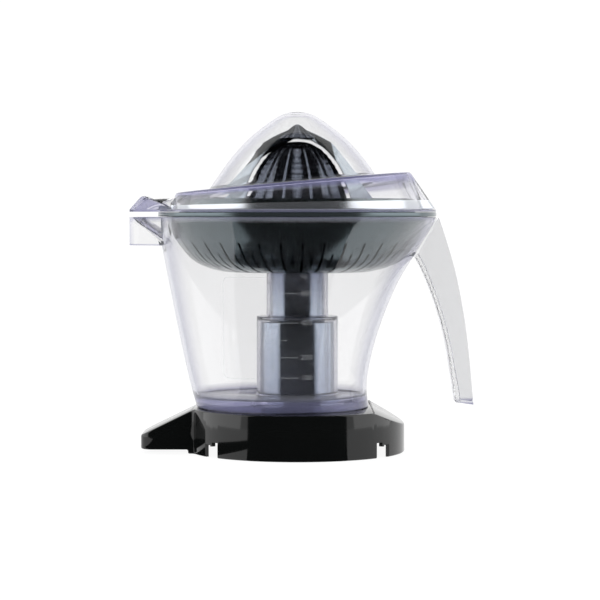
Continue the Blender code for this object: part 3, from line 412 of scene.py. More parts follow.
class Finishes:
    """Every finish of the object, each made once."""

    def __init__(self) -> None:
        """Build all the materials."""
        kinds = (
            MouldedPlastic("black_gloss", (0.0035, 0.004, 0.004), 0.08, 0.15),
            MouldedPlastic("slate_satin", (0.47, 0.53, 0.61), 0.17, 0.06, pearl=0.93),
            # Painted light: the wings are the same charcoal plastic as the cap, given a lighter grey that
            # stands in for the light falling on them.
            MouldedPlastic("lit_wing_satin", (0.33, 0.37, 0.405), 0.17, 0.06, pearl=0.93),
            MouldedPlastic("cone_satin", (0.10, 0.112, 0.14), 0.17, 0.06, pearl=0.9, grain=0.04),
            MouldedPlastic("bowl_satin", (0.125, 0.155, 0.168), 0.18, 0.05, pearl=0.85, grain=0.0),
            MouldedPlastic("acetal", (0.78, 0.77, 0.72), 0.42, 0.05, grain=0.35, grain_scale=1400.0),
            ClearPlastic("clear"),
            ClearPlastic("clear_lid", (0.92, 0.92, 0.925), (0.46, 0.44, 0.70),
                         edge_milk=(0.30, 0.30, 0.58), shade=0.6),
            GroundSteel("ground_steel"),
            GroundSteel("pressed_steel", (0.55, 0.56, 0.57), 0.32, Lay.PLAIN),
            SinteredBronze("bronze"),
            SealRubber("rubber"),
            PrintedInk("scale_ink"),
        )
        self.made = {kind.name: kind.build() for kind in kinds}

    def dress(self, item: bpy.types.Object, name: str) -> None:
        """Give an object one finish in all its slots.

        Args:
            item: The object.
            name: The finish's name.
        """
        if not item.material_slots:
            item.data.materials.append(None)
        for slot in item.material_slots:
            slot.material = self.made[name]


# ---------------------------------------------------------------- workshop


class Cut(Enum):
    """What a Boolean does with its tool."""

    UNION = "UNION"
    DIFFERENCE = "DIFFERENCE"


def take(item: bpy.types.Object) -> None:
    """Make this the only selected object, and the active one."""
    bpy.ops.object.select_all(action="DESELECT")
    item.select_set(True)
    bpy.context.view_layer.objects.active = item


def newest(name: str) -> bpy.types.Object:
    """Name the object that an operator has just added, with its place in its mesh.

    Args:
        name: Its new name.

    Returns:
        The object.
    """
    item = bpy.context.active_object
    item.name = item.data.name = name
    take(item)
    bpy.ops.object.transform_apply(location=True, rotation=True, scale=True)
    return item


@contextmanager
def editing(item: bpy.types.Object, mode: str = "FACE") -> Iterator[bmesh.types.BMesh]:
    """Open an object in edit mode with nothing selected.

    Args:
        item: The object.
        mode: VERT, EDGE or FACE.

    Yields:
        Its mesh, to select in.
    """
    take(item)
    bpy.ops.object.mode_set(mode="EDIT")
    bpy.ops.mesh.select_mode(type=mode)
    bpy.ops.mesh.select_all(action="DESELECT")
    yield bmesh.from_edit_mesh(item.data)
    bpy.ops.object.mode_set(mode="OBJECT")


def pick(item: bpy.types.Object, parts: Sequence, test: Callable[[object], bool]) -> None:
    """Select the faces or edges that pass a test.

    Args:
        item: The object in edit mode.
        parts: Faces or edges of its mesh.
        test: Says whether one of them is wanted.
    """
    for part in parts:
        if test(part):
            part.select_set(True)
    bmesh.update_edit_mesh(item.data)


def work_with(item: bpy.types.Object, kind: str, **settings: object) -> None:
    """Add one modifier and apply it.

    Args:
        item: The object.
        kind: The modifier's type.
        **settings: Its properties.
    """
    take(item)
    modifier = item.modifiers.new(kind.lower(), kind)
    for key, value in settings.items():
        setattr(modifier, key, value)
    bpy.ops.object.modifier_apply(modifier=modifier.name)


def carve(item: bpy.types.Object, tool: bpy.types.Object, way: Cut) -> None:
    """Combine an object with a tool, and remove the tool.

    Args:
        item: The object that stays.
        tool: The object that goes.
        way: What the tool does.
    """
    work_with(item, "BOOLEAN", operation=way.value, object=tool, solver="EXACT")
    bpy.data.objects.remove(tool, do_unlink=True)


def block(name: str, low: Sequence[float], high: Sequence[float]) -> bpy.types.Object:
    """A box between two corners.

    Args:
        name: Its name.
        low: Its lowest corner.
        high: Its highest corner.

    Returns:
        The box.
    """
    start, end = Vector(low), Vector(high)
    bpy.ops.mesh.primitive_cube_add(size=1, location=(start + end) / 2)
    bpy.context.active_object.scale = end - start
    return newest(name)


def rod(name: str, radius: float, low: float, high: float, centre: Point2 = (0.0, 0.0),
        sides: int = 192) -> bpy.types.Object:
    """An upright cylinder.

    Args:
        name: Its name.
        radius: Its radius.
        low: The height of its bottom.
        high: The height of its top.
        centre: Where it stands.
        sides: How many sides it has.

    Returns:
        The cylinder.
    """
    bpy.ops.mesh.primitive_cylinder_add(vertices=sides, radius=radius, depth=high - low,
                                        location=(*centre, (low + high) / 2))
    return newest(name)


def turned(item: bpy.types.Object, angle: float, axis: str = "z",
           place: Point3 = (0, 0, 0)) -> bpy.types.Object:
    """Turn an object about an axis, move it, and keep both in its mesh.

    Args:
        item: The object.
        angle: How far it is turned.
        axis: The axis through the origin that it turns about.
        place: How far it is moved after that.

    Returns:
        The same object.
    """
    take(item)
    setattr(item.rotation_euler, axis, angle)
    item.location = place
    bpy.ops.object.transform_apply(location=True, rotation=True, scale=True)
    return item


def upright_axis(node: str) -> Point2:
    """X and Y of the middle of one of the frame's nodes."""
    low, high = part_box(node)
    return (low.x + high.x) / 2, (low.y + high.y) / 2


def plate(name: str, points: Sequence[Vector], rise: Point3) -> bpy.types.Object:
    """Raise a flat outline into a solid.

    Args:
        name: Its name.
        points: The outline, in one plane.
        rise: How far and which way it is raised.

    Returns:
        The solid.
    """
    bpy.ops.mesh.primitive_circle_add(vertices=len(points), radius=0.01)
    item = newest(name)
    for vertex, point in zip(item.data.vertices, points):
        vertex.co = point
    with editing(item, "EDGE"):
        bpy.ops.mesh.select_all(action="SELECT")
        bpy.ops.mesh.edge_face_add()
        bpy.ops.mesh.extrude_region_move(TRANSFORM_OT_translate={"value": rise})
        bpy.ops.mesh.select_all(action="SELECT")
        bpy.ops.mesh.normals_make_consistent(inside=False)
    return item


def join(items: Sequence[bpy.types.Object], name: str) -> bpy.types.Object:
    """Join objects into the first one.

    Args:
        items: The objects.
        name: The name of the result.

    Returns:
        The joined object.
    """
    take(items[0])
    for item in items:
        item.select_set(True)
    bpy.ops.object.join()
    return newest(name)


def smooth(item: bpy.types.Object, angle: float) -> None:
    """Shade smooth, with edges sharper than the angle in degrees kept."""
    take(item)
    bpy.ops.object.shade_smooth_by_angle(angle=math.radians(angle))


def curve(points: Sequence[Sequence[float]], steps: int) -> list[tuple[float, ...]]:
    """Points on a smooth curve through the given ones.

    Args:
        points: The points to pass through.
        steps: How many points each stretch gets.

    Returns:
        The finer points.
    """
    ends = [points[0], *points, points[-1]]
    path = []
    for near in zip(ends, ends[1:], ends[2:], ends[3:]):
        for step in range(steps):
            t = step / steps
            weights = ((-t + 2 * t * t - t ** 3) / 2, (2 - 5 * t * t + 3 * t ** 3) / 2,
                       (t + 4 * t * t - 3 * t ** 3) / 2, (t ** 3 - t * t) / 2)
            path.append(tuple(sum(weight * value for weight, value in zip(weights, values))
                              for values in zip(*near)))
    return [*path, tuple(points[-1])]


@dataclass(frozen=True)
class Corner:
    """A corner of a profile that is spun about the drive axis.

    round is the radius of its rounding. pull and lift are how far the spout draws it out and up, sway
    is a weight for the piece's own shaping, tint marks an edge that shows the plastic's tinge, and
    haze a faintly milky zone below 0.3 and a painted white glint from 0.5 up, where the lid's foot pipes
    light.
    """

    radius: float
    z: float
    round: float = 0.0
    pull: float = 0.0
    lift: float = 0.0
    sway: float = 0.0
    tint: float = 0.0
    haze: float = 0.0

    def row(self) -> np.ndarray:
        """Its numbers in one row, the traits last."""
        return np.array([self.radius, self.z, self.pull, self.lift, self.sway, self.tint, self.haze])


TRAITS = ("pull", "lift", "sway", "edge_tint", "haze")


def profile(corners: Sequence[Corner], closed: bool = True, steps: int = 3) -> np.ndarray:
    """Round a profile's corners.

    Args:
        corners: The corners in order.
        closed: Whether the last joins the first.
        steps: How many stretches each rounding has.

    Returns:
        One row for each point.
    """
    rows = [corner.row() for corner in corners]
    points = []
    for index, corner in enumerate(corners):
        here = rows[index]
        if corner.round <= 0 or (not closed and index in (0, len(rows) - 1)):
            points.append(here)
            continue
        sides = []
        for other in (rows[index - 1], rows[(index + 1) % len(rows)]):
            share = min(corner.round / np.linalg.norm(other[:2] - here[:2]), 0.45)
            sides.append(here + (other - here) * share)
        for t in np.linspace(0.0, 1.0, steps + 1):
            points.append(sides[0] * (1 - t) ** 2 + here * 2 * t * (1 - t) + sides[1] * t * t)
    return np.array(points)


def spun(name: str, rows: np.ndarray, closed: bool = True, steps: int = 192) -> bpy.types.Object:
    """Spin a profile about the drive axis into a closed skin.

    Args:
        name: The object's name.
        rows: The profile's points with their traits.
        closed: False for a profile that starts and ends on the axis.
        steps: How many steps the turn has.

    Returns:
        The skin, with each trait as an attribute.
    """
    bpy.ops.mesh.primitive_circle_add(vertices=len(rows), radius=10 * MM)
    item = newest(name)
    for vertex, row in zip(item.data.vertices, rows):
        vertex.co = (row[0], 0.0, row[1])
    for column, trait in enumerate(TRAITS, start=2):
        layer = item.data.attributes.new(trait, "FLOAT", "POINT")
        layer.data.foreach_set("value", rows[:, column].astype(np.float32))
    last = len(rows) - 1
    with editing(item, "EDGE") as work:
        if not closed:
            pick(item, work.edges, lambda edge: {vert.index for vert in edge.verts} == {0, last})
            bpy.ops.mesh.delete(type="EDGE")
        bpy.ops.mesh.select_all(action="SELECT")
        bpy.ops.mesh.spin(steps=steps, angle=FULL_TURN, center=(0, 0, 0), axis=(0, 0, 1))
        bpy.ops.mesh.select_all(action="SELECT")
        bpy.ops.mesh.remove_doubles(threshold=0.01 * MM)
        bpy.ops.mesh.normals_make_consistent(inside=False)
    return item


def reshape(item: bpy.types.Object, mover: Mover) -> None:
    """Move every vertex of a spun skin.

    Args:
        item: The skin.
        mover: Takes radius, angle, height and the traits, and gives the new x, y and z.
    """
    mesh = item.data
    places = np.empty(len(mesh.vertices) * 3, np.float32)
    mesh.vertices.foreach_get("co", places)
    places = places.reshape(-1, 3)
    traits = {}
    for name in TRAITS:
        traits[name] = np.empty(len(mesh.vertices), np.float32)
        mesh.attributes[name].data.foreach_get("value", traits[name])
    radius = np.hypot(places[:, 0], places[:, 1])
    angle = np.arctan2(places[:, 1], places[:, 0])
    moved = np.stack(mover(radius, angle, places[:, 2], traits), axis=1)
    mesh.vertices.foreach_set("co", moved.astype(np.float32).ravel())
    mesh.update()


def tidy_traits(item: bpy.types.Object) -> None:
    """Keep only the traits that the clear finish reads."""
    for name in ("pull", "lift", "sway"):
        item.data.attributes.remove(item.data.attributes[name])


def around(angle: np.ndarray, centre: float, half: float, fade: float) -> np.ndarray:
    """1 within half of the centre angle, falling smoothly to 0 over the fade.

    Args:
        angle: The angles.
        centre: The middle of the zone.
        half: Half its width.
        fade: The width of its fade.

    Returns:
        The weights.
    """
    away = np.abs((angle - centre + math.pi) % FULL_TURN - math.pi)
    share = np.clip((half + fade - away) / fade, 0.0, 1.0)
    return share * share * (3 - 2 * share)


def loft(name: str, sections: Sequence[Sequence[Vector]]) -> bpy.types.Object:
    """Join closed sections of equal count into one skin, and fill its ends.

    Args:
        name: The object's name.
        sections: The sections in order.

    Returns:
        The skin.
    """
    count = len(sections[0])
    bpy.ops.mesh.primitive_grid_add(x_subdivisions=count, y_subdivisions=len(sections) - 1, size=10 * MM)
    item = newest(name)
    for index, vertex in enumerate(item.data.vertices):
        vertex.co = sections[index // (count + 1)][index % (count + 1) % count]
    with editing(item, "EDGE"):
        bpy.ops.mesh.select_all(action="SELECT")
        bpy.ops.mesh.remove_doubles(threshold=0.005 * MM)
        work = bmesh.from_edit_mesh(item.data)
        bpy.ops.mesh.select_all(action="DESELECT")
        pick(item, work.edges, lambda edge: edge.is_boundary)
        bpy.ops.mesh.fill(use_beauty=True)
        bpy.ops.mesh.select_all(action="SELECT")
        bpy.ops.mesh.normals_make_consistent(inside=False)
    return item


@dataclass(frozen=True)
class Delivery:
    """Where a finished piece goes: its body, its material slot (not used) and the frame's nodes it stands
    for.
    """

    body: str
    slot: Optional[str] = None
    replaced: tuple[str, ...] = ()

    def send(self, item: bpy.types.Object, finishes: Finishes, finish: str, sharp: float = 0.0) -> None:
        """Shade, dress and hand over a piece.

        Args:
            item: The piece.
            finishes: All the finishes.
            finish: The name of the piece's own.
            sharp: Edges above this angle in degrees stay sharp; at 0 the shading stays as it is.
        """
        if sharp:
            smooth(item, sharp)
        finishes.dress(item, finish)
        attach(item, self.body)
        if self.replaced:
            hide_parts(*self.replaced)
        LOG.info("%s: %d faces on %s", item.name, len(item.data.polygons), self.body)


# ---------------------------------------------------------------- base and column


COVER_SCREWS = tuple(f"cover_screw_{number}" for number in (1, 2, 3, 4))
COLUMN_SCREWS = tuple(f"column_screw_{number}" for number in (1, 2, 3))


@dataclass
class Base:
    """The gloss black housing, the grey gear column and the parts inside them."""

    radius: float = 66.5 * MM
    wall: float = 2.6 * MM
    deck: float = 3.0 * MM
    arm_half: float = 20.0 * MM
    arm_corner: float = 8.0 * MM
    arm_bottom: float = 2.5 * MM
    neck_round: float = 3.5 * MM
    roof_right: float = 46.0 * MM
    roof_left: float = 63.0 * MM
    roof_angle: float = math.radians(26)
    notch_angle: float = math.radians(51.5)
    notch_width: float = 12.4 * MM
    notch_height: float = 9.3 * MM
    ledge_width: float = 7.2 * MM
    ledge_thick: float = 1.5 * MM
    lip_start: float = 5.4 * MM
    lip_drop: float = 2.5 * MM
    boss_radius: float = 3.6 * MM
    bore_radius: float = 1.6 * MM
    bore_depth: float = 7.0 * MM
    cover_boss: float = 12.8 * MM
    column_boss: float = 18.3 * MM
    edge_round: float = 0.9 * MM
    wide: float = 22.7 * MM
    wide_top: float = 81.2 * MM
    narrow: float = 16.6 * MM
    top: float = 118.0 * MM
    column_wall: float = 1.5 * MM
    flange: float = 32.0 * MM
    flange_bottom: float = 15.0 * MM
    flange_thick: float = 3.0 * MM
    gear_case_top: float = 51.5 * MM
    bush: float = 7.9 * MM
    bush_bottom: float = 104.0 * MM

    def build(self, finishes: Finishes) -> None:
        """Make the housing and the column, and dress the parts kept from the frame."""
        self.build_housing(finishes)
        self.build_column(finishes)
        self.dress_kept(finishes)

    def outline(self, inset: float) -> list[Point2]:
        """Plan of the drum with its arm, from the arm's rear neck round the drum and back.

        Args:
            inset: How far it is moved in.

        Returns:
            Its points, counter-clockwise.
        """
        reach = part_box("base_shell")[0].x + inset
        radius, half = self.radius - inset, self.arm_half - inset
        corner, neck = self.arm_corner - inset * 0.5, self.neck_round + inset
        neck_x = -math.sqrt((radius + neck) ** 2 - (half + neck) ** 2)
        bearing = math.atan2(half + neck, neck_x)
        drum = [(radius * math.cos(t), radius * math.sin(t)) for t in np.linspace(-bearing, bearing, 200)]
        turn_in = [(neck_x + neck * math.cos(t), half + neck + neck * math.sin(t))
                   for t in np.linspace(bearing - math.pi, -math.pi / 2, 9)[1:]]
        turn_out = [(reach + corner + corner * math.cos(t), half - corner + corner * math.sin(t))
                    for t in np.linspace(math.pi / 2, math.pi, 13)]
        side = turn_in + turn_out
        return drum + side + [(x, -y) for x, y in reversed(side)][:-1]

    def lump(self, inset: float, bottom: float, top: float) -> bpy.types.Object:
        """Drum and arm in one, with the slopes cut.

        Args:
            inset: How far its sides and slopes are moved in.
            bottom: The height of its bottom.
            top: The height of its top.

        Returns:
            The lump.
        """
        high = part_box("base_shell")[1]
        lump = plate("lump", [Vector((x, y, bottom)) for x, y in self.outline(inset)],
                     (0, 0, top - bottom))
        for start, side in ((self.roof_right, 1), (self.roof_left, -1)):
            lean = side * self.roof_angle
            normal = Vector((math.sin(lean), 0, math.cos(lean)))
            above = block("above", (-0.15, -0.15, 0), (0.15, 0.15, 0.1))
            carve(lump, turned(above, lean, "y", Vector((side * start, 0, high.z)) - normal * inset),
                  Cut.DIFFERENCE)
        return lump

    def build_housing(self, finishes: Finishes) -> None:
        """Black housing: drum, arm, slopes, bosses, deck hole and bayonet notches."""
        low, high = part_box("base_shell")
        shell = self.lump(0.0, 0.0, high.z)
        shell.name = shell.data.name = "base_housing"
        carve(shell, block("under_arm", (low.x - MM, -self.arm_half - MM, -MM),
                           (-self.radius - 0.5 * MM, self.arm_half + MM, self.arm_bottom)), Cut.DIFFERENCE)
        work_with(shell, "BEVEL", width=self.edge_round, segments=3, limit_method="ANGLE",
                  angle_limit=math.radians(18), use_clamp_overlap=False)
        carve(shell, self.lump(self.wall, -5 * MM, high.z - self.deck), Cut.DIFFERENCE)
        carve(shell, rod("hole", self.wide + 0.3 * MM, 0.0, high.z + MM, sides=96), Cut.DIFFERENCE)
        for screw in COVER_SCREWS:
            self.add_boss(shell, screw, self.cover_boss)
        for screw in COLUMN_SCREWS:
            self.add_boss(shell, screw, self.column_boss)
        for centre in (-math.pi / 2, math.pi / 2):
            for side in (-1, 1):
                tool = self.notch_tool(centre + side * self.notch_angle, side * math.copysign(1, -centre))
                carve(shell, tool, Cut.DIFFERENCE)
        Delivery("base", "black_gloss_plastic", ("base_shell",)).send(shell, finishes, "black_gloss", 30)

    def add_boss(self, shell: bpy.types.Object, screw: str, bottom: float) -> None:
        """Stand a bored screw boss under the deck.

        Args:
            shell: The housing.
            screw: The screw that the boss holds.
            bottom: The height of the boss's end.
        """
        centre = upright_axis(screw)
        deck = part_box("base_shell")[1].z - self.deck * 0.7
        carve(shell, rod("boss", self.boss_radius, bottom, deck, centre, 32), Cut.UNION)
        carve(shell, rod("bore", self.bore_radius, bottom - MM, bottom + self.bore_depth, centre, 24),
              Cut.DIFFERENCE)

    def notch_tool(self, angle: float, side: float) -> bpy.types.Object:
        """A tool that cuts one bayonet notch and leaves its small ledge.

        Args:
            angle: Where the notch is.
            side: Which of its upper corners keeps the ledge.

        Returns:
            The tool.
        """
        half, top = self.notch_width / 2, self.notch_height
        near, far = self.radius - 8 * MM, self.radius + 6 * MM
        tool = block("notch", (near, -half, -MM), (far, half, top))
        ledge = sorted((side * half, side * (half - self.ledge_width)))
        carve(tool, block("ledge", (near - MM, ledge[0] - MM * (side < 0), top - self.ledge_thick),
                          (far + MM, ledge[1] + MM * (side > 0), top + MM)), Cut.DIFFERENCE)
        lip = sorted((side * (half - self.lip_start), side * (half - self.ledge_width)))
        carve(tool, block("lip", (near - MM, lip[0], top - self.lip_drop), (far + MM, lip[1], top)),
              Cut.DIFFERENCE)
        return turned(tool, angle)

    def build_column(self, finishes: Finishes) -> None:
        """Slate grey column: flange, wide gear case and narrow tower."""
        bore = self.wide - self.column_wall
        tower = self.narrow - self.column_wall - 0.5 * MM
        cap = self.top - 4 * MM
        roof = self.wide_top - 3 * MM
        flange_top = self.flange_bottom + self.flange_thick
        corners = [
            Corner(bore, self.flange_bottom), Corner(self.flange, self.flange_bottom, 0.4 * MM),
            Corner(self.flange, flange_top, 0.4 * MM), Corner(self.wide, flange_top, 0.8 * MM),
            Corner(self.wide, self.wide_top, 1.4 * MM), Corner(self.narrow, self.wide_top, 0.8 * MM),
            Corner(self.narrow, self.top, 1.2 * MM), Corner(self.bush, self.top, 0.3 * MM),
            Corner(self.bush, self.bush_bottom), Corner(self.bush + 2 * MM, self.bush_bottom),
            Corner(self.bush + 2 * MM, cap, 0.8 * MM), Corner(tower, cap, 0.8 * MM),
            Corner(tower, roof, 0.8 * MM), Corner(bore - 2 * MM, roof, 0.8 * MM),
            Corner(bore - 2 * MM, self.gear_case_top), Corner(bore, self.gear_case_top),
        ]
        column = spun("gear_tower", profile(corners))
        for screw in COLUMN_SCREWS:
            tool = rod("bore", self.bore_radius, self.flange_bottom - MM, flange_top + MM,
                       upright_axis(screw), 24)
            carve(column, tool, Cut.DIFFERENCE)
        tidy_traits(column)
        Delivery("base", "slate_plastic", ("gear_column",)).send(column, finishes, "slate_satin", 35)

    def dress_kept(self, finishes: Finishes) -> None:
        """Dress the parts of the frame that stay as they are."""
        planets = [f"{stage}_{number}" for stage in (1, 2) for number in (1, 2, 3)]
        kept = {
            "black_gloss": ("bottom_cover",),
            "slate_satin": ("gearbox_cover",),
            "bronze": ("input_bush", "lower_bush", "upper_bush", "thrust_washer"),
            "rubber": ("shaft_seal",),
            "acetal": ("ring_gear", "planet_carrier_1", "output_carrier",
                       *(f"planet_gear_{planet}" for planet in planets)),
            "ground_steel": ("input_coupling", "sun_gear_1", "sun_gear_2", "output_shaft",
                             *(f"planet_pin_{planet}" for planet in planets)),
            "pressed_steel": ("circlip", *COVER_SCREWS, *COLUMN_SCREWS),
        }
        for finish, nodes in kept.items():
            for node in nodes:
                finishes.dress(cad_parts[node], finish)
                LOG.info("%s: dressed in %s", node, finish)


# ---------------------------------------------------------------- jug


@dataclass
class Jug:
    """Clear jug with its spout, stepped centre tube, open handle and printed scale."""

    wall: float = 2.2 * MM
    foot: float = 53.2 * MM
    foot_centre: float = -9.0 * MM
    shift_start: float = 29.0 * MM
    shift_fade: float = 16.0 * MM
    floor: float = 34.7 * MM
    underside: float = 31.7 * MM
    rim_radius: float = 86.0 * MM
    spout_floor: float = 127.4 * MM
    spout_half: float = math.radians(7.5)
    spout_front: float = 3.0 * MM
    spout_start: float = -82.0 * MM
    tube_wide: float = 25.2 * MM
    tube_narrow: float = 19.1 * MM
    tube_wall: float = 2.0 * MM
    tube_step: float = 84.0 * MM
    tube_top: float = 121.0 * MM
    handle_half: float = 12.5 * MM
    web: float = 3.0 * MM
    cheek: float = 2.2 * MM
    grip_edge: float = 0.7 * MM
    grip_back: float = 1.6 * MM
    grip_tip: float = 2.5 * MM
    grip_haze: float = 0.04
    ink: float = 0.06 * MM
    ink_gap: float = 0.02 * MM
    line: float = 0.35 * MM
    half_line: float = 0.3 * MM
    panel_line: float = 0.45 * MM
    figure: float = 3.3 * MM
    figure_gap: float = 1.6 * MM
    figure_scale: float = 1.4
    scale_bend: float = 1.6 * MM
    panel_bend: float = 3.5 * MM
    panel_gap: float = 4.2 * MM
    unit_figure: float = 2.6 * MM
    panel_left: float = -44.0 * MM
    scale_left: float = -10.7 * MM
    scale_right: float = 0.5 * MM
    panel_top: float = 109.8 * MM
    scale_marks: tuple = ((600, 100.3), (400, 82.5), (200, 61.6), (100, 49.2))
    sides: tuple = ((30.0, 53.4, -9.6), (46.0, 55.4, -11.9), (73.0, 61.5, -11.7), (103.0, 70.4, -8.8),
                    (124.0, 78.7, -4.5), (136.0, 83.6, -1.9), (141.8, 85.6, -0.5))
    handle_outer: tuple = ((86.9, 144.8), (91.8, 130.4), (97.8, 109.4), (103.0, 82.3), (106.0, 58.2),
                           (108.6, 29.6))
    handle_inner: tuple = ((72.8, 119.9), (78.2, 109.4), (85.7, 89.8), (91.4, 69.0), (94.8, 49.2),
                           (97.5, 31.1))

    def __post_init__(self) -> None:
        """Take the heights from the frame and smooth the side."""
        low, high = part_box("jug")
        self.bottom, self.rim, self.reach = low.z, high.z, -low.x
        self.side = [tuple(value * MM for value in point) for point in curve(self.sides, 6)]

    def build(self, finishes: Finishes) -> None:
        """Make the vessel, the handle and the scale."""
        self.build_vessel(finishes)
        self.build_handle(finishes)
        self.build_scale(finishes)

    def centre(self, height: np.ndarray) -> np.ndarray:
        """X of the vessel's centre at these heights."""
        levels = [self.bottom, *[z for z, _, _ in self.side], self.rim]
        places = [self.foot_centre, *[x for _, _, x in self.side], 0.0]
        return np.interp(height, levels, places)

    def side_radius(self, height: float) -> float:
        """Outer radius of the vessel at a height."""
        levels = [z for z, _, _ in self.side]
        return float(np.interp(height, levels, [radius for _, radius, _ in self.side]))

    def vessel_corners(self) -> list[Corner]:
        """The vessel's profile, from the foot up the outside and down the inside."""
        inner_wide, inner_narrow = self.tube_wide - self.tube_wall, self.tube_narrow - self.tube_wall
        inner_foot, inner_step = self.foot - self.wall, self.tube_step - self.tube_wall
        ramp_foot = self.spout_floor + 0.4 * MM
        ledge = self.side_radius(ramp_foot)
        drawn = self.reach - self.rim_radius
        inner_rim = self.rim_radius - self.wall

        def ramp(corner: Corner) -> float:
            """How far the spout's sloping floor draws a corner of the inside out."""
            return max(0.0, drawn * (corner.z - ramp_foot) / (self.rim - ramp_foot))

        outside = [Corner(radius, z, tint=min(1.0, max(0.0, 2.6 - (z - self.bottom) / (4 * MM))))
                   for z, radius, _ in self.side]
        below = [corner for corner in outside if corner.z < self.spout_floor - MM]
        above = [corner for corner in outside if corner.z > self.spout_floor + MM]
        inside = [corner for corner in reversed(outside) if self.floor + 3 * MM < corner.z]
        return [
            Corner(self.foot, self.bottom, 0.6 * MM, tint=0.9), *below,
            Corner(self.side_radius(self.spout_floor), self.spout_floor),
            Corner(ledge, ramp_foot, pull=self.reach - ledge),
            *[Corner(corner.radius, corner.z, pull=self.reach - corner.radius) for corner in above],
            Corner(self.rim_radius, self.rim, 0.5 * MM, drawn, tint=0.75),
            Corner(inner_rim, self.rim, 0.5 * MM, drawn, tint=0.75),
            Corner(inner_rim, self.rim - 1.5 * MM, pull=drawn - self.wall, tint=0.3),
            *[Corner(corner.radius - self.wall, corner.z, pull=ramp(corner)) for corner in inside],
            Corner(self.side_radius(self.floor) - self.wall, self.floor, 1.6 * MM, tint=0.5),
            Corner(self.tube_wide, self.floor, 3.0 * MM, tint=0.45),
            Corner(self.tube_wide, self.tube_step - 2.2 * MM, tint=0.1),
            Corner(self.tube_wide, self.tube_step, 0.7 * MM, tint=0.6),
            Corner(self.tube_narrow, self.tube_step, 0.7 * MM, tint=0.5),
            Corner(self.tube_narrow, self.tube_step + 2 * MM, tint=0.1),
            Corner(self.tube_narrow, self.tube_top, 0.6 * MM, tint=0.5),
            Corner(inner_narrow, self.tube_top, 0.4 * MM, tint=0.5),
            Corner(inner_narrow, inner_step, 0.4 * MM), Corner(inner_wide, inner_step, 0.4 * MM),
            Corner(inner_wide, self.underside, 0.6 * MM),
            Corner(inner_foot, self.underside, 0.8 * MM, tint=0.5),
            Corner(inner_foot, self.bottom, 0.5 * MM, tint=0.9),
        ]

    def build_vessel(self, finishes: Finishes) -> None:
        """Clear vessel in one moulding."""
        vessel = spun("jug_vessel", profile(self.vessel_corners()))

        def shape(radius: np.ndarray, angle: np.ndarray, height: np.ndarray, traits: dict) -> tuple:
            """Shift the rings off the axis and draw the spout out."""
            weight = around(angle, math.pi, self.spout_half, self.spout_half)
            centre = self.centre(height) * np.clip((radius - self.shift_start) / self.shift_fade, 0.0, 1.0)
            drawn = np.where(traits["pull"] > 0, traits["pull"] + centre, 0.0)
            reach = radius + weight * drawn
            return centre + reach * np.cos(angle), reach * np.sin(angle), height

        reshape(vessel, shape)
        self.tint_spout(vessel)
        tidy_traits(vessel)
        Delivery("jug", "clear_plastic", ("jug",)).send(vessel, finishes, "clear", 40)

    def tint_spout(self, vessel: bpy.types.Object) -> None:
        """Give the spout's thick front and floor their cool tinge."""
        tint = vessel.data.attributes["edge_tint"].data
        for vertex in vessel.data.vertices:
            x, _, z = vertex.co
            if x < self.spout_front - self.reach and z > self.spout_floor:
                tint[vertex.index].value = max(tint[vertex.index].value, 0.6)
            if x < self.spout_start and abs(z - self.spout_floor) < 0.8 * MM:
                tint[vertex.index].value = 1.0

    def build_handle(self, finishes: Finishes) -> None:
        """Open channel handle with its web on the finger side."""
        outer = curve(self.handle_outer, 8)
        inner = curve(self.handle_inner, 8)
        half, inside = self.handle_half, self.handle_half - self.cheek
        soft, round_back = self.grip_edge, self.grip_back
        sections = []
        for (outer_x, outer_z), (inner_x, inner_z) in zip(outer, inner):
            start = Vector((inner_x, 0, inner_z)) * MM
            across = Vector((outer_x, 0, outer_z)) * MM - start
            width = across.length
            across.normalize()
            edge = profile([
                Corner(0.0, -half, round_back), Corner(width, -half, soft), Corner(width, -inside, soft),
                Corner(self.web, -inside, soft), Corner(self.web, inside, soft),
                Corner(width, inside, soft), Corner(width, half, soft), Corner(0.0, half, round_back)])
            sections.append([start + across * row[0] + Vector((0, row[1], 0)) for row in edge])
        handle = loft("jug_grip", sections)
        tint = handle.data.attributes.new("edge_tint", "FLOAT", "POINT")
        haze = handle.data.attributes.new("haze", "FLOAT", "POINT")
        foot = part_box("jug_handle")[0].z
        for index, vertex in enumerate(handle.data.vertices):
            tint.data[index].value = max(0.0, 1 - (vertex.co.z - foot) / self.grip_tip)
            haze.data[index].value = self.grip_haze
        Delivery("jug", "clear_plastic", ("jug_handle",)).send(handle, finishes, "clear", 40)

    def on_wall(self, x: float, z: float, lift: float) -> Vector:
        """A point on the vessel's front, this far outside it.

        Args:
            x: Its X.
            z: Its height.
            lift: How far it stands off.

        Returns:
            The point.
        """
        radius = self.side_radius(z) + lift
        centre = float(self.centre(np.array(z)))
        return Vector((x, -math.sqrt(radius ** 2 - (x - centre) ** 2), z))

    def lettering(self, words: str, x: float, z: float, height: float) -> bpy.types.Object:
        """Raised ink lettering laid on the vessel's front.

        Args:
            words: What it says.
            x: Its left end.
            z: The height of its middle.
            height: How tall its figures are.

        Returns:
            The lettering.
        """
        bpy.ops.object.text_add(location=(0, 0, 0))
        text = bpy.context.active_object
        text.data.body = words
        text.data.size = height * self.figure_scale
        text.data.extrude = self.ink / 2
        text.data.resolution_u = 3
        text.data.align_y = "CENTER"
        bpy.ops.object.convert(target="MESH")
        item = newest("lettering")
        for vertex in item.data.vertices:
            across, up, out = vertex.co
            vertex.co = self.on_wall(x + across, z + up, self.ink_gap + self.ink / 2 + out)
        return item

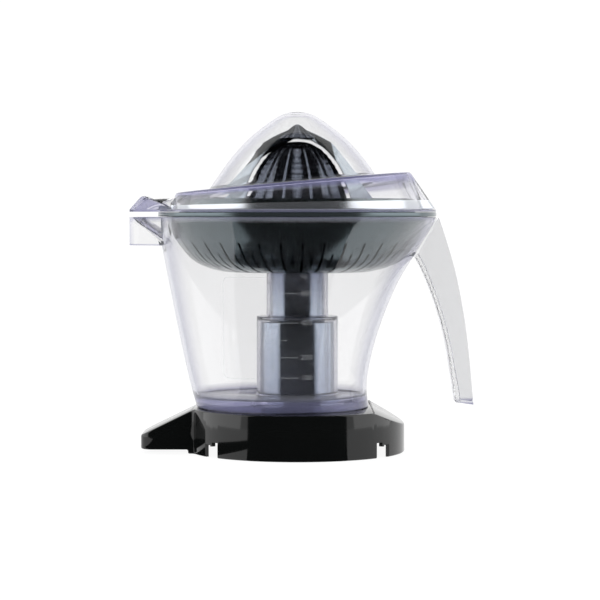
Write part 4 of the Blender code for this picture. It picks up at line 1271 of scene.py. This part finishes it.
    def stroke(self, points: Sequence[Point2], width: float) -> bpy.types.Object:
        """A printed line laid on the vessel's front.

        Args:
            points: Its (x, z) points.
            width: How wide it is.

        Returns:
            The line.
        """
        path = [Vector(points[0])]
        for start, end in zip(points, points[1:]):
            steps = max(1, round((Vector(end) - Vector(start)).length / (1.5 * MM)))
            path += [Vector(start).lerp(Vector(end), step / steps) for step in range(1, steps + 1)]
        sections = []
        for index, place in enumerate(path):
            along = (path[min(index + 1, len(path) - 1)] - path[max(index - 1, 0)]).normalized()
            side = Vector((-along.y, along.x)) * width / 2
            low, high = self.ink_gap, self.ink_gap + self.ink
            ring = ((place - side, low), (place + side, low), (place + side, high), (place - side, high))
            sections.append([self.on_wall(point.x, point.y, lift) for point, lift in ring])
        return loft("stroke", sections)

    def build_scale(self, finishes: Finishes) -> None:
        """White scale in millilitres, with its panel outline."""
        left, right, top = self.scale_left, self.scale_right, self.panel_top
        bend, beside = self.scale_bend, right + self.figure_gap
        parts = []
        for number, height in self.scale_marks:
            parts.append(self.lettering(str(number), beside, height * MM, self.figure))
            if number != self.scale_marks[-1][0]:
                parts.append(self.stroke([(left, height * MM), (right, height * MM)], self.line))
        low = self.scale_marks[-1][1] * MM
        middle = (self.scale_marks[1][1] + self.scale_marks[2][1]) / 2 * MM
        parts.append(self.stroke([(left, middle), (left + 5 * MM, middle)], self.half_line))
        corner = [(left + bend * (1 - math.cos(t)), low + bend * (1 - math.sin(t)))
                  for t in np.linspace(0, math.pi / 2, 5)]
        parts.append(self.stroke([(left, top + 3 * MM), *corner, (right, low)], self.line))
        panel = self.panel(self.panel_left, left - self.panel_gap, low - 0.5 * MM, top, self.panel_bend)
        parts.append(self.stroke(panel, self.panel_line))
        parts.append(self.lettering("ml", beside, top + 0.5 * MM, self.unit_figure))
        Delivery("jug").send(join(parts, "jug_scale"), finishes, "scale_ink")

    @staticmethod
    def panel(left: float, right: float, low: float, high: float, bend: float) -> list[Point2]:
        """Outline of a panel with round corners.

        Args:
            left: Its left side.
            right: Its right side.
            low: Its bottom.
            high: Its top.
            bend: The radius of its corners.

        Returns:
            Its points, back to the first.
        """
        points = []
        for x, z, start in ((right - bend, high - bend, 0.0), (left + bend, high - bend, 0.5),
                            (left + bend, low + bend, 1.0), (right - bend, low + bend, 1.5)):
            for step in range(7):
                angle = math.pi * (start + step / 12)
                points.append((x + bend * math.cos(angle), z + bend * math.sin(angle)))
        return [*points, points[0]]


# ---------------------------------------------------------------- strainer and cones


@dataclass
class Strainer:
    """Dark bowl with radial slots, a hanging rim, an upstand ring and a collar.

    A slot is its inner radius, the height of its top and its width.
    """

    rim_radius: float = 86.0 * MM
    rim_thick: float = 2.6 * MM
    wall: float = 1.8 * MM
    upstand: float = 72.5 * MM
    collar: float = 19.6 * MM
    collar_wall: float = 2.0 * MM
    collar_top: float = 125.0 * MM
    bowl_top: float = 80.2 * MM
    inside_top: float = 141.0 * MM
    slots: int = 36
    slot_bottom: float = 100.0 * MM
    long_slot: Point3 = (47.0 * MM, 130.0 * MM, 1.5 * MM)
    short_slot: Point3 = (58.0 * MM, 123.5 * MM, 1.2 * MM)
    bowl: tuple = ((80.0, 143.0), (79.0, 139.0), (75.0, 131.0), (66.0, 120.0), (56.0, 114.3), (45.0, 111.6))

    def build(self, finishes: Finishes) -> None:
        """Make the strainer."""
        low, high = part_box("strainer")
        floor = low.z
        rim_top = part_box("lid")[0].z - 0.3 * MM
        rim_bottom = rim_top - self.rim_thick
        outer = [(radius * MM, z * MM) for radius, z in curve(self.bowl, 5)]
        inner = inward(outer, self.wall)
        upstand_inner = self.upstand - self.wall
        corners = [
            Corner(self.collar, self.collar_top, 0.4 * MM), Corner(self.collar, floor, 0.5 * MM),
            *[Corner(radius, z) for radius, z in reversed(outer)],
            Corner(self.bowl_top, rim_bottom, 0.6 * MM),
            Corner(self.rim_radius, rim_bottom, 0.5 * MM), Corner(self.rim_radius, rim_top, 0.5 * MM),
            Corner(self.upstand, rim_top, 1.0 * MM), Corner(self.upstand, high.z, 0.5 * MM),
            Corner(upstand_inner, high.z, 0.5 * MM), Corner(upstand_inner, rim_bottom + 1.3 * MM, 2.0 * MM),
            *[Corner(min(radius, upstand_inner + 6 * MM), max(z, floor + self.wall))
              for radius, z in inner[1:] if z < self.inside_top],
            Corner(self.collar + self.collar_wall, floor + self.wall, 1.0 * MM),
            Corner(self.collar + self.collar_wall, self.collar_top, 0.4 * MM),
        ]
        bowl = spun("strainer_bowl", profile(corners), steps=216)
        tidy_traits(bowl)
        cutters = []
        for number in range(self.slots * 2):
            near, top, width = self.short_slot if number % 2 else self.long_slot
            cutter = block("slot", (near, -width / 2, self.slot_bottom), (self.rim_radius, width / 2, top))
            cutters.append(turned(cutter, number * math.pi / self.slots + math.pi / self.slots / 2))
        carve(bowl, join(cutters, "slots"), Cut.DIFFERENCE)
        Delivery("strainer", "charcoal_plastic", ("strainer",)).send(bowl, finishes, "bowl_satin", 32)


def zigzag(turns: np.ndarray) -> np.ndarray:
    """1 at every whole turn, falling straight to 0 half way between."""
    return np.abs(turns % 1.0 - 0.5) * 2


def inward(points: Sequence[Point2], distance: float) -> list[Point2]:
    """Move a profile that runs down from the outside towards the axis inward.

    Args:
        points: The profile's (radius, z) points.
        distance: How far it moves.

    Returns:
        The moved points.
    """
    moved = []
    for index, point in enumerate(points):
        before = Vector(points[max(index - 1, 0)])
        after = Vector(points[min(index + 1, len(points) - 1)])
        along = (after - before).normalized()
        moved.append((point[0] + along.y * distance, point[1] - along.x * distance))
    return moved


@dataclass
class Cones:
    """The ribbed small cone, and the large cone that arches over it.

    A power above 1 makes a rib or flute sharper. The low ribs between the main ones are between_height
    of their height.
    """

    ribs: int = 12
    rib_height: float = 2.3 * MM
    rib_power: float = 2.2
    between_height: float = 0.45
    between_power: float = 1.5
    barb: float = 0.6 * MM
    barb_pitch: float = 3.3 * MM
    wall: float = 2.4 * MM
    flange: float = 48.0 * MM
    flange_thick: float = 2.0 * MM
    hub: float = 9.0 * MM
    bore: float = 5.0 * MM
    bore_top: float = 146.3 * MM
    collar_top: float = 123.0 * MM
    wing_half: float = 8.0 * MM
    wing_edge: float = 0.1
    ring_inner: float = 43.6 * MM
    ring_outer: float = 50.0 * MM
    ring_bottom: float = 119.7 * MM
    ring_top: float = 125.7 * MM
    arch_top: float = 193.0 * MM
    cap_radius: float = 11.6 * MM
    flutes: int = 18
    flute_depth: float = 0.9 * MM
    flute_power: float = 1.6
    side: tuple = ((0.0, 191.3), (6.8, 190.6), (15.3, 186.2), (21.4, 179.5), (26.3, 171.3), (29.0, 164.8),
                   (33.0, 150.0), (36.8, 137.0), (40.4, 124.0))
    outline: tuple = ((5.3, 198.4), (11.5, 196.0), (17.8, 192.7), (23.0, 188.3), (27.0, 183.0), (31.0, 177.6),
                      (38.0, 169.5), (43.5, 162.5), (48.0, 154.0), (50.0, 140.0))
    arch: tuple = ((8.2, 192.2), (16.9, 186.9), (23.6, 179.5), (28.4, 171.3), (31.0, 164.8), (34.9, 150.0),
                   (38.7, 137.0), (42.2, 126.5))

    def build(self, finishes: Finishes) -> None:
        """Make both cones."""
        self.build_small(finishes)
        self.build_wings(finishes)
        self.build_cap(finishes)

    def build_small(self, finishes: Finishes) -> None:
        """Small cone: sharp ribs with fine barbs, a base flange and a hub."""
        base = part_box("small_cone")[0].z
        flange_top = base + self.flange_thick
        outer = [(radius * MM, z * MM) for radius, z in curve(self.side, 10)]
        inner = [point for point in inward(outer, self.wall + self.rib_height) if point[0] > self.hub + MM]
        corners = [Corner(radius, z, sway=min(1.0, radius / (16 * MM))) for radius, z in outer]
        corners[0] = Corner(0.0, outer[0][1])
        corners += [
            Corner(outer[-1][0], flange_top, 1.2 * MM), Corner(self.flange, flange_top, 0.5 * MM),
            Corner(self.flange, base, 0.5 * MM), Corner(inner[-1][0], base, 0.5 * MM),
            *[Corner(radius, z) for radius, z in reversed(inner)], Corner(self.hub, inner[0][1], 0.8 * MM),
            Corner(self.hub, self.collar_top, 0.4 * MM), Corner(self.bore, self.collar_top, 0.3 * MM),
            Corner(self.bore, self.bore_top), Corner(0.0, self.bore_top),
        ]
        cone = spun("small_cone_ribbed", profile(corners, closed=False), closed=False,
                    steps=self.ribs * 20)

        def shape(radius: np.ndarray, angle: np.ndarray, height: np.ndarray, traits: dict) -> tuple:
            """Raise the ribs and notch them."""
            phase = zigzag(angle * self.ribs / FULL_TURN)
            main = phase ** self.rib_power
            between = self.between_height * np.clip(1 - phase * 2.2, 0.0, 1.0) ** self.between_power
            crest = np.maximum(main, between)
            notch = self.barb * zigzag(height / self.barb_pitch) * crest
            reach = radius - traits["sway"] * (self.rib_height * (1 - crest) + notch)
            return reach * np.cos(angle), reach * np.sin(angle), height

        reshape(cone, shape)
        tidy_traits(cone)
        Delivery("small_cone", "charcoal_plastic", ("small_cone",)).send(cone, finishes, "cone_satin", 28)

    def build_wings(self, finishes: Finishes) -> None:
        """Large cone: one arch with two wings that thin towards their outer edge, on a base ring."""
        right = [(x * MM, z * MM) for x, z in curve(self.outline, 4)]
        arch = [(x * MM, z * MM) for x, z in curve(self.arch, 4)]
        low = (self.ring_bottom + self.ring_top) / 2
        loop = [*right, (self.ring_outer - MM, low), (self.ring_inner + MM, low), *reversed(arch),
                (0.0, self.arch_top)]
        loop += [(-x, z) for x, z in reversed(loop[:-1])]
        wings = plate("large_cone_wings", [Vector((x, -self.wing_half, z)) for x, z in loop],
                      (0, 2 * self.wing_half, 0))
        edge = {(round(x, 5), round(z, 5)) for x, z in right}
        for vertex in wings.data.vertices:
            if (round(abs(vertex.co.x), 5), round(vertex.co.z, 5)) in edge:
                vertex.co.y *= self.wing_edge
        work_with(wings, "BEVEL", width=0.7 * MM, segments=2, limit_method="ANGLE",
                  angle_limit=math.radians(40))
        ring = spun("ring", profile([
            Corner(self.ring_inner, self.ring_bottom, 0.5 * MM),
            Corner(self.ring_outer, self.ring_bottom, 0.5 * MM),
            Corner(self.ring_outer, self.ring_top, 0.8 * MM),
            Corner(self.ring_inner, self.ring_top, 0.8 * MM)]), steps=144)
        carve(wings, ring, Cut.UNION)
        # The wings wear the painted-lighter copy of the charcoal finish.
        Delivery("large_cone", "charcoal_plastic", ("large_cone",)).send(wings, finishes, "lit_wing_satin", 32)

    def build_cap(self, finishes: Finishes) -> None:
        """Dark ribbed cap at the top of the large cone."""
        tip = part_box("large_cone")[1].z
        foot = self.arch_top + 0.2 * MM
        side = curve(((0.0, tip / MM), (2.2, tip / MM - 0.9), (5.3, 198.6), (9.0, 195.6), (11.8, 193.6)), 5)
        corners = [Corner(radius * MM, z * MM, sway=min(1.0, radius / 7)) for radius, z in side]
        corners[0] = Corner(0.0, tip)
        corners += [Corner(self.cap_radius, foot, 0.3 * MM), Corner(0.0, foot)]
        cap = spun("large_cone_cap", profile(corners, closed=False), closed=False, steps=144)

        def shape(radius: np.ndarray, angle: np.ndarray, height: np.ndarray, traits: dict) -> tuple:
            """Flute the cap."""
            phase = zigzag(angle * self.flutes / FULL_TURN)
            reach = radius - traits["sway"] * self.flute_depth * (1 - phase ** self.flute_power)
            return reach * np.cos(angle), reach * np.sin(angle), height

        reshape(cap, shape)
        tidy_traits(cap)
        Delivery("large_cone", "charcoal_plastic").send(cap, finishes, "cone_satin", 28)


# ---------------------------------------------------------------- lid


@dataclass
class Lid:
    """Clear lid: flange, skirt, slanted top, dome, spout cover and thumb ridge."""

    wall: float = 1.8 * MM
    flange_thick: float = 1.5 * MM
    foot_radius: float = 79.0 * MM
    rim_radius: float = 86.0 * MM
    slope: float = 0.4
    top_centre: float = 166.4 * MM
    top_slope: float = math.tan(math.radians(5.1))
    band_top: float = 153.8 * MM
    spout_half: float = math.radians(7.5)
    cover_top: float = 158.2 * MM
    cover_reach: float = 94.5 * MM
    ridge_reach: float = 85.6 * MM
    ridge_half: float = math.radians(7.5)
    # Strength of the painted white glint on the skirt band and foot, standing in for the light that they pipe
    # and reflect.
    milk: float = 0.82
    cover_start: float = 0.985
    dome: tuple = ((0.0, 210.2), (6.5, 209.2), (13.5, 206.0), (27.8, 195.5), (39.1, 183.8), (48.1, 171.7),
                   (55.0, 161.5))

    def build(self, finishes: Finishes) -> None:
        """Make the lid."""
        low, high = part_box("lid")
        bottom, tip, reach = low.z, high.z, -low.x
        flange_top = bottom + self.flange_thick
        dome = [(radius * MM, z * MM) for radius, z in curve(self.dome, 8)]
        levels = [z for _, z in reversed(dome)]
        radii = [radius for radius, _ in reversed(dome)]
        rise = tip - self.top_centre
        foot = float(np.interp(self.top_centre, levels, radii))

        def limb(z: float) -> float:
            """Radius of the skirt at a height, before the top is slanted."""
            return self.foot_radius - self.slope * (z - flange_top)

        above = [(radius, z) for radius, z in dome if z > self.top_centre + MM]
        outer_dome = [Corner(radius, z, sway=(tip - z) / rise) for radius, z in above]
        inner_dome = [Corner(max(radius, 0.0), z, sway=max(0.0, (tip - z) / rise))
                      for radius, z in inward(above, self.wall)]
        inner_dome[0] = Corner(0.0, tip - self.wall)
        band = (self.band_top - flange_top) / (self.top_centre - flange_top)
        foot_limb = limb(self.top_centre)
        edge_low, edge_end = self.top_centre - 3.2 * MM, self.top_centre - 5.2 * MM
        band_end = self.band_top + 0.2 * MM
        inner_top, inner_foot = self.top_centre - self.wall, self.foot_radius - self.wall
        cover_inner = self.cover_top - self.wall
        out = self.cover_reach - self.foot_radius
        corners = [
            *outer_dome, Corner(foot, self.top_centre, 2.0 * MM, sway=1.0, tint=0.25),
            Corner(foot_limb - 3.0 * MM, self.top_centre, sway=1.0, tint=0.3),
            Corner(foot_limb, self.top_centre, 1.0 * MM, sway=1.0, tint=1.0),
            Corner(limb(edge_low), edge_low, sway=0.81, tint=0.8),
            Corner(limb(edge_end), edge_end, sway=0.69, tint=0.0),
            Corner(limb(band_end), band_end, 0.0, out * 0.75, (self.cover_top - self.band_top) * 0.85, band),
            # Painted reflection: the band and the foot carry the white glint.
            Corner(limb(self.band_top), self.band_top, 0.0, out * 0.78,
                   (self.cover_top - self.band_top) * 0.9, band, haze=self.milk),
            Corner(self.foot_radius, flange_top, 0.8 * MM, out, self.cover_top - flange_top,
                   tint=0.1, haze=self.milk),
            Corner(self.foot_radius + 0.8 * MM, flange_top, 0.0, out + 1.5 * MM,
                   self.cover_top - flange_top - 0.8 * MM, tint=0.6),
            Corner(self.rim_radius, flange_top, 0.4 * MM, reach - self.rim_radius, tint=0.5),
            Corner(self.rim_radius, bottom, 0.4 * MM, reach - self.rim_radius, tint=0.8),
            Corner(inner_foot, bottom, 0.4 * MM, reach - self.foot_radius, tint=0.4),
            Corner(inner_foot, flange_top, 0.4 * MM, out, cover_inner - flange_top, tint=0.1),
            Corner(limb(self.band_top) - self.wall, self.band_top, 0.0, out * 0.74,
                   (cover_inner - self.band_top) * 0.9, band),
            Corner(foot_limb - self.wall, inner_top, 1.0 * MM, sway=1.0, tint=0.3),
            Corner(foot - self.wall * 0.6, inner_top, 2.0 * MM, sway=1.0), *reversed(inner_dome),
        ]
        lid = spun("lid_dome", profile(corners, closed=False), closed=False, steps=240)
        border = (foot + foot_limb) / 2

        def shape(radius: np.ndarray, angle: np.ndarray, height: np.ndarray, traits: dict) -> tuple:
            """Slant the top, draw the spout cover out and push the thumb ridge out."""
            spout = around(angle, math.pi, self.spout_half, self.spout_half * 0.8)
            ridge = around(angle, 0.0, self.ridge_half, self.ridge_half)
            lean = traits["sway"] * self.top_slope * radius * np.cos(angle)
            on_dome = radius < border
            level = height + lean
            side = np.interp(level, levels, radii) - np.interp(height, levels, radii)
            reach_here = np.where(on_dome, radius + side, radius - self.slope * lean)
            reach_here = np.where(radius < 1 * MM, radius, reach_here)
            share = np.clip((self.top_centre - height) / (self.top_centre - flange_top), 0.0, 1.0)
            skirt = radius < self.foot_radius + 0.1 * MM
            pushed = ridge * share * (self.ridge_reach - self.foot_radius) * skirt
            reach_here = reach_here + spout * traits["pull"] + np.where(on_dome, 0.0, pushed)
            level = level + spout * traits["lift"]
            return reach_here * np.cos(angle), reach_here * np.sin(angle), level

        reshape(lid, shape)
        self.clear_spout(lid)
        tidy_traits(lid)
        Delivery("lid", "clear_plastic", ("lid",)).send(lid, finishes, "clear_lid", 40)

    def clear_spout(self, lid: bpy.types.Object) -> None:
        """Keep the painted white glint of the light-piping foot out of the spout cover."""
        haze = lid.data.attributes["haze"].data
        for vertex in lid.data.vertices:
            if vertex.co.x < -self.foot_radius * self.cover_start:
                haze[vertex.index].value = 0.0


# ---------------------------------------------------------------- studio


@dataclass
class Studio:
    """Pale floor and wall, soft lights and the camera."""

    eye: Point3 = (0.0017, -1.374, 0.149)
    aim: Point3 = (0.0017, 0.0, 0.0936)
    lens: float = 133.0
    sky: float = 0.9
    floor_half: float = 4.0
    wall_place: float = 3.0
    wall_height: float = 5.0
    box_place: Point3 = (1.9, 0.0, 0.6)
    box_size: Point2 = (2.2, 3.2)
    box_power: float = 22.0
    box_aim: Point3 = (0.0, 0.0, 0.1)
    card_half: float = 2.35
    card_depth: float = -1.75
    card_height: float = 2.6
    card_back: float = 0.5
    wall_bend: float = 1.2

    def build(self) -> None:
        """Make the stage, the lights and the camera."""
        self.build_stage()
        self.build_card()
        for name, side in (("left_box", -1), ("right_box", 1)):
            self.add_light(name, side)
        self.build_sky()
        self.build_camera()

    def build_stage(self) -> None:
        """Floor that curves up into the wall behind."""
        bpy.ops.mesh.primitive_plane_add(size=2 * self.floor_half, location=(0, 0, -0.2 * MM))
        stage = newest("stage")
        with editing(stage, "EDGE") as work:
            for vert in work.verts:
                if vert.co.y > 0:
                    vert.co.y = self.wall_place
            back = self.wall_place - 0.1
            pick(stage, work.edges, lambda edge: all(vert.co.y > back for vert in edge.verts))
            bpy.ops.mesh.extrude_region_move(TRANSFORM_OT_translate={"value": (0, 0, self.wall_height)})
            work = bmesh.from_edit_mesh(stage.data)
            bpy.ops.mesh.select_all(action="DESELECT")
            pick(stage, work.edges,
                 lambda edge: all(vert.co.y > back and vert.co.z < 0.1 for vert in edge.verts))
            bpy.ops.mesh.bevel(offset=self.wall_bend, segments=16, affect="EDGES")
        smooth(stage, 60)
        stage.data.materials.append(StagePaint("stage_paint").build())

    def build_card(self) -> None:
        """Black cards in front, above and below that give the glossy pieces their dark middle."""
        paint = CardPaint("card_paint").build()
        half, depth, high, back = self.card_half, self.card_depth, self.card_height, self.card_back
        cards = {
            "front_card": ((-half, depth, 0.0), (half, depth, 0.0), (half, depth, high),
                           (-half, depth, high)),
            "top_card": ((-half, depth, high), (half, depth, high), (half, back, high),
                         (-half, back, high)),
            "floor_card": ((-half, depth, 0.0), (half, depth, 0.0), (0.03, -0.059, 0.0),
                           (-0.03, -0.059, 0.0)),
            "arm_card": ((-0.11, -0.16, 0.0), (-0.055, -0.16, 0.0), (-0.055, -0.0205, 0.0),
                         (-0.11, -0.0205, 0.0)),
        }
        for name, corners in cards.items():
            bpy.ops.mesh.primitive_circle_add(vertices=len(corners), radius=1, fill_type="NGON")
            card = newest(name)
            for vertex, corner in zip(card.data.vertices, corners):
                vertex.co = corner
            card.data.materials.append(paint)
            card.visible_camera = card.visible_diffuse = card.visible_shadow = False

    def add_light(self, name: str, side: int) -> None:
        """Hang a soft box at one side, facing the object.

        Args:
            name: Its name.
            side: -1 for the left, 1 for the right.
        """
        lamp = bpy.data.lights.new(name, "AREA")
        lamp.shape = "RECTANGLE"
        lamp.size, lamp.size_y = self.box_size
        lamp.energy = self.box_power
        item = bpy.data.objects.new(name, lamp)
        bpy.context.scene.collection.objects.link(item)
        item.location = (side * self.box_place[0], *self.box_place[1:])
        towards = Vector(self.box_aim) - item.location
        item.rotation_euler = towards.to_track_quat("-Z", "Y").to_euler()
        item.visible_camera = False

    def build_sky(self) -> None:
        """Even white light from all round."""
        world = bpy.data.worlds.new("white_room")
        world.use_nodes = True
        background = world.node_tree.nodes["Background"]
        background.inputs["Color"].default_value = (1.0, 1.0, 1.0, 1.0)
        background.inputs["Strength"].default_value = self.sky
        bpy.context.scene.world = world
        bpy.context.scene.view_settings.view_transform = "Standard"

    def build_camera(self) -> None:
        """Camera at eye level in front of the object."""
        data = bpy.data.cameras.new("camera")
        data.lens = self.lens
        data.sensor_width = 36.0
        camera = bpy.data.objects.new("camera", data)
        bpy.context.scene.collection.objects.link(camera)
        camera.location = self.eye
        towards = Vector(self.aim) - Vector(self.eye)
        camera.rotation_euler = towards.to_track_quat("-Z", "Y").to_euler()
        bpy.context.scene.camera = camera


# ---------------------------------------------------------------- all together


def main() -> None:
    """Build the visual model round the frame."""
    logging.basicConfig(level=logging.INFO, format="%(name)s: %(message)s")
    Studio().build()
    finishes = Finishes()
    for assembly in (Base(), Jug(), Strainer(), Cones(), Lid()):
        assembly.build(finishes)
        LOG.info("%s is built", type(assembly).__name__)
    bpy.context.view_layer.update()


if __name__ == "__main__":
    main()
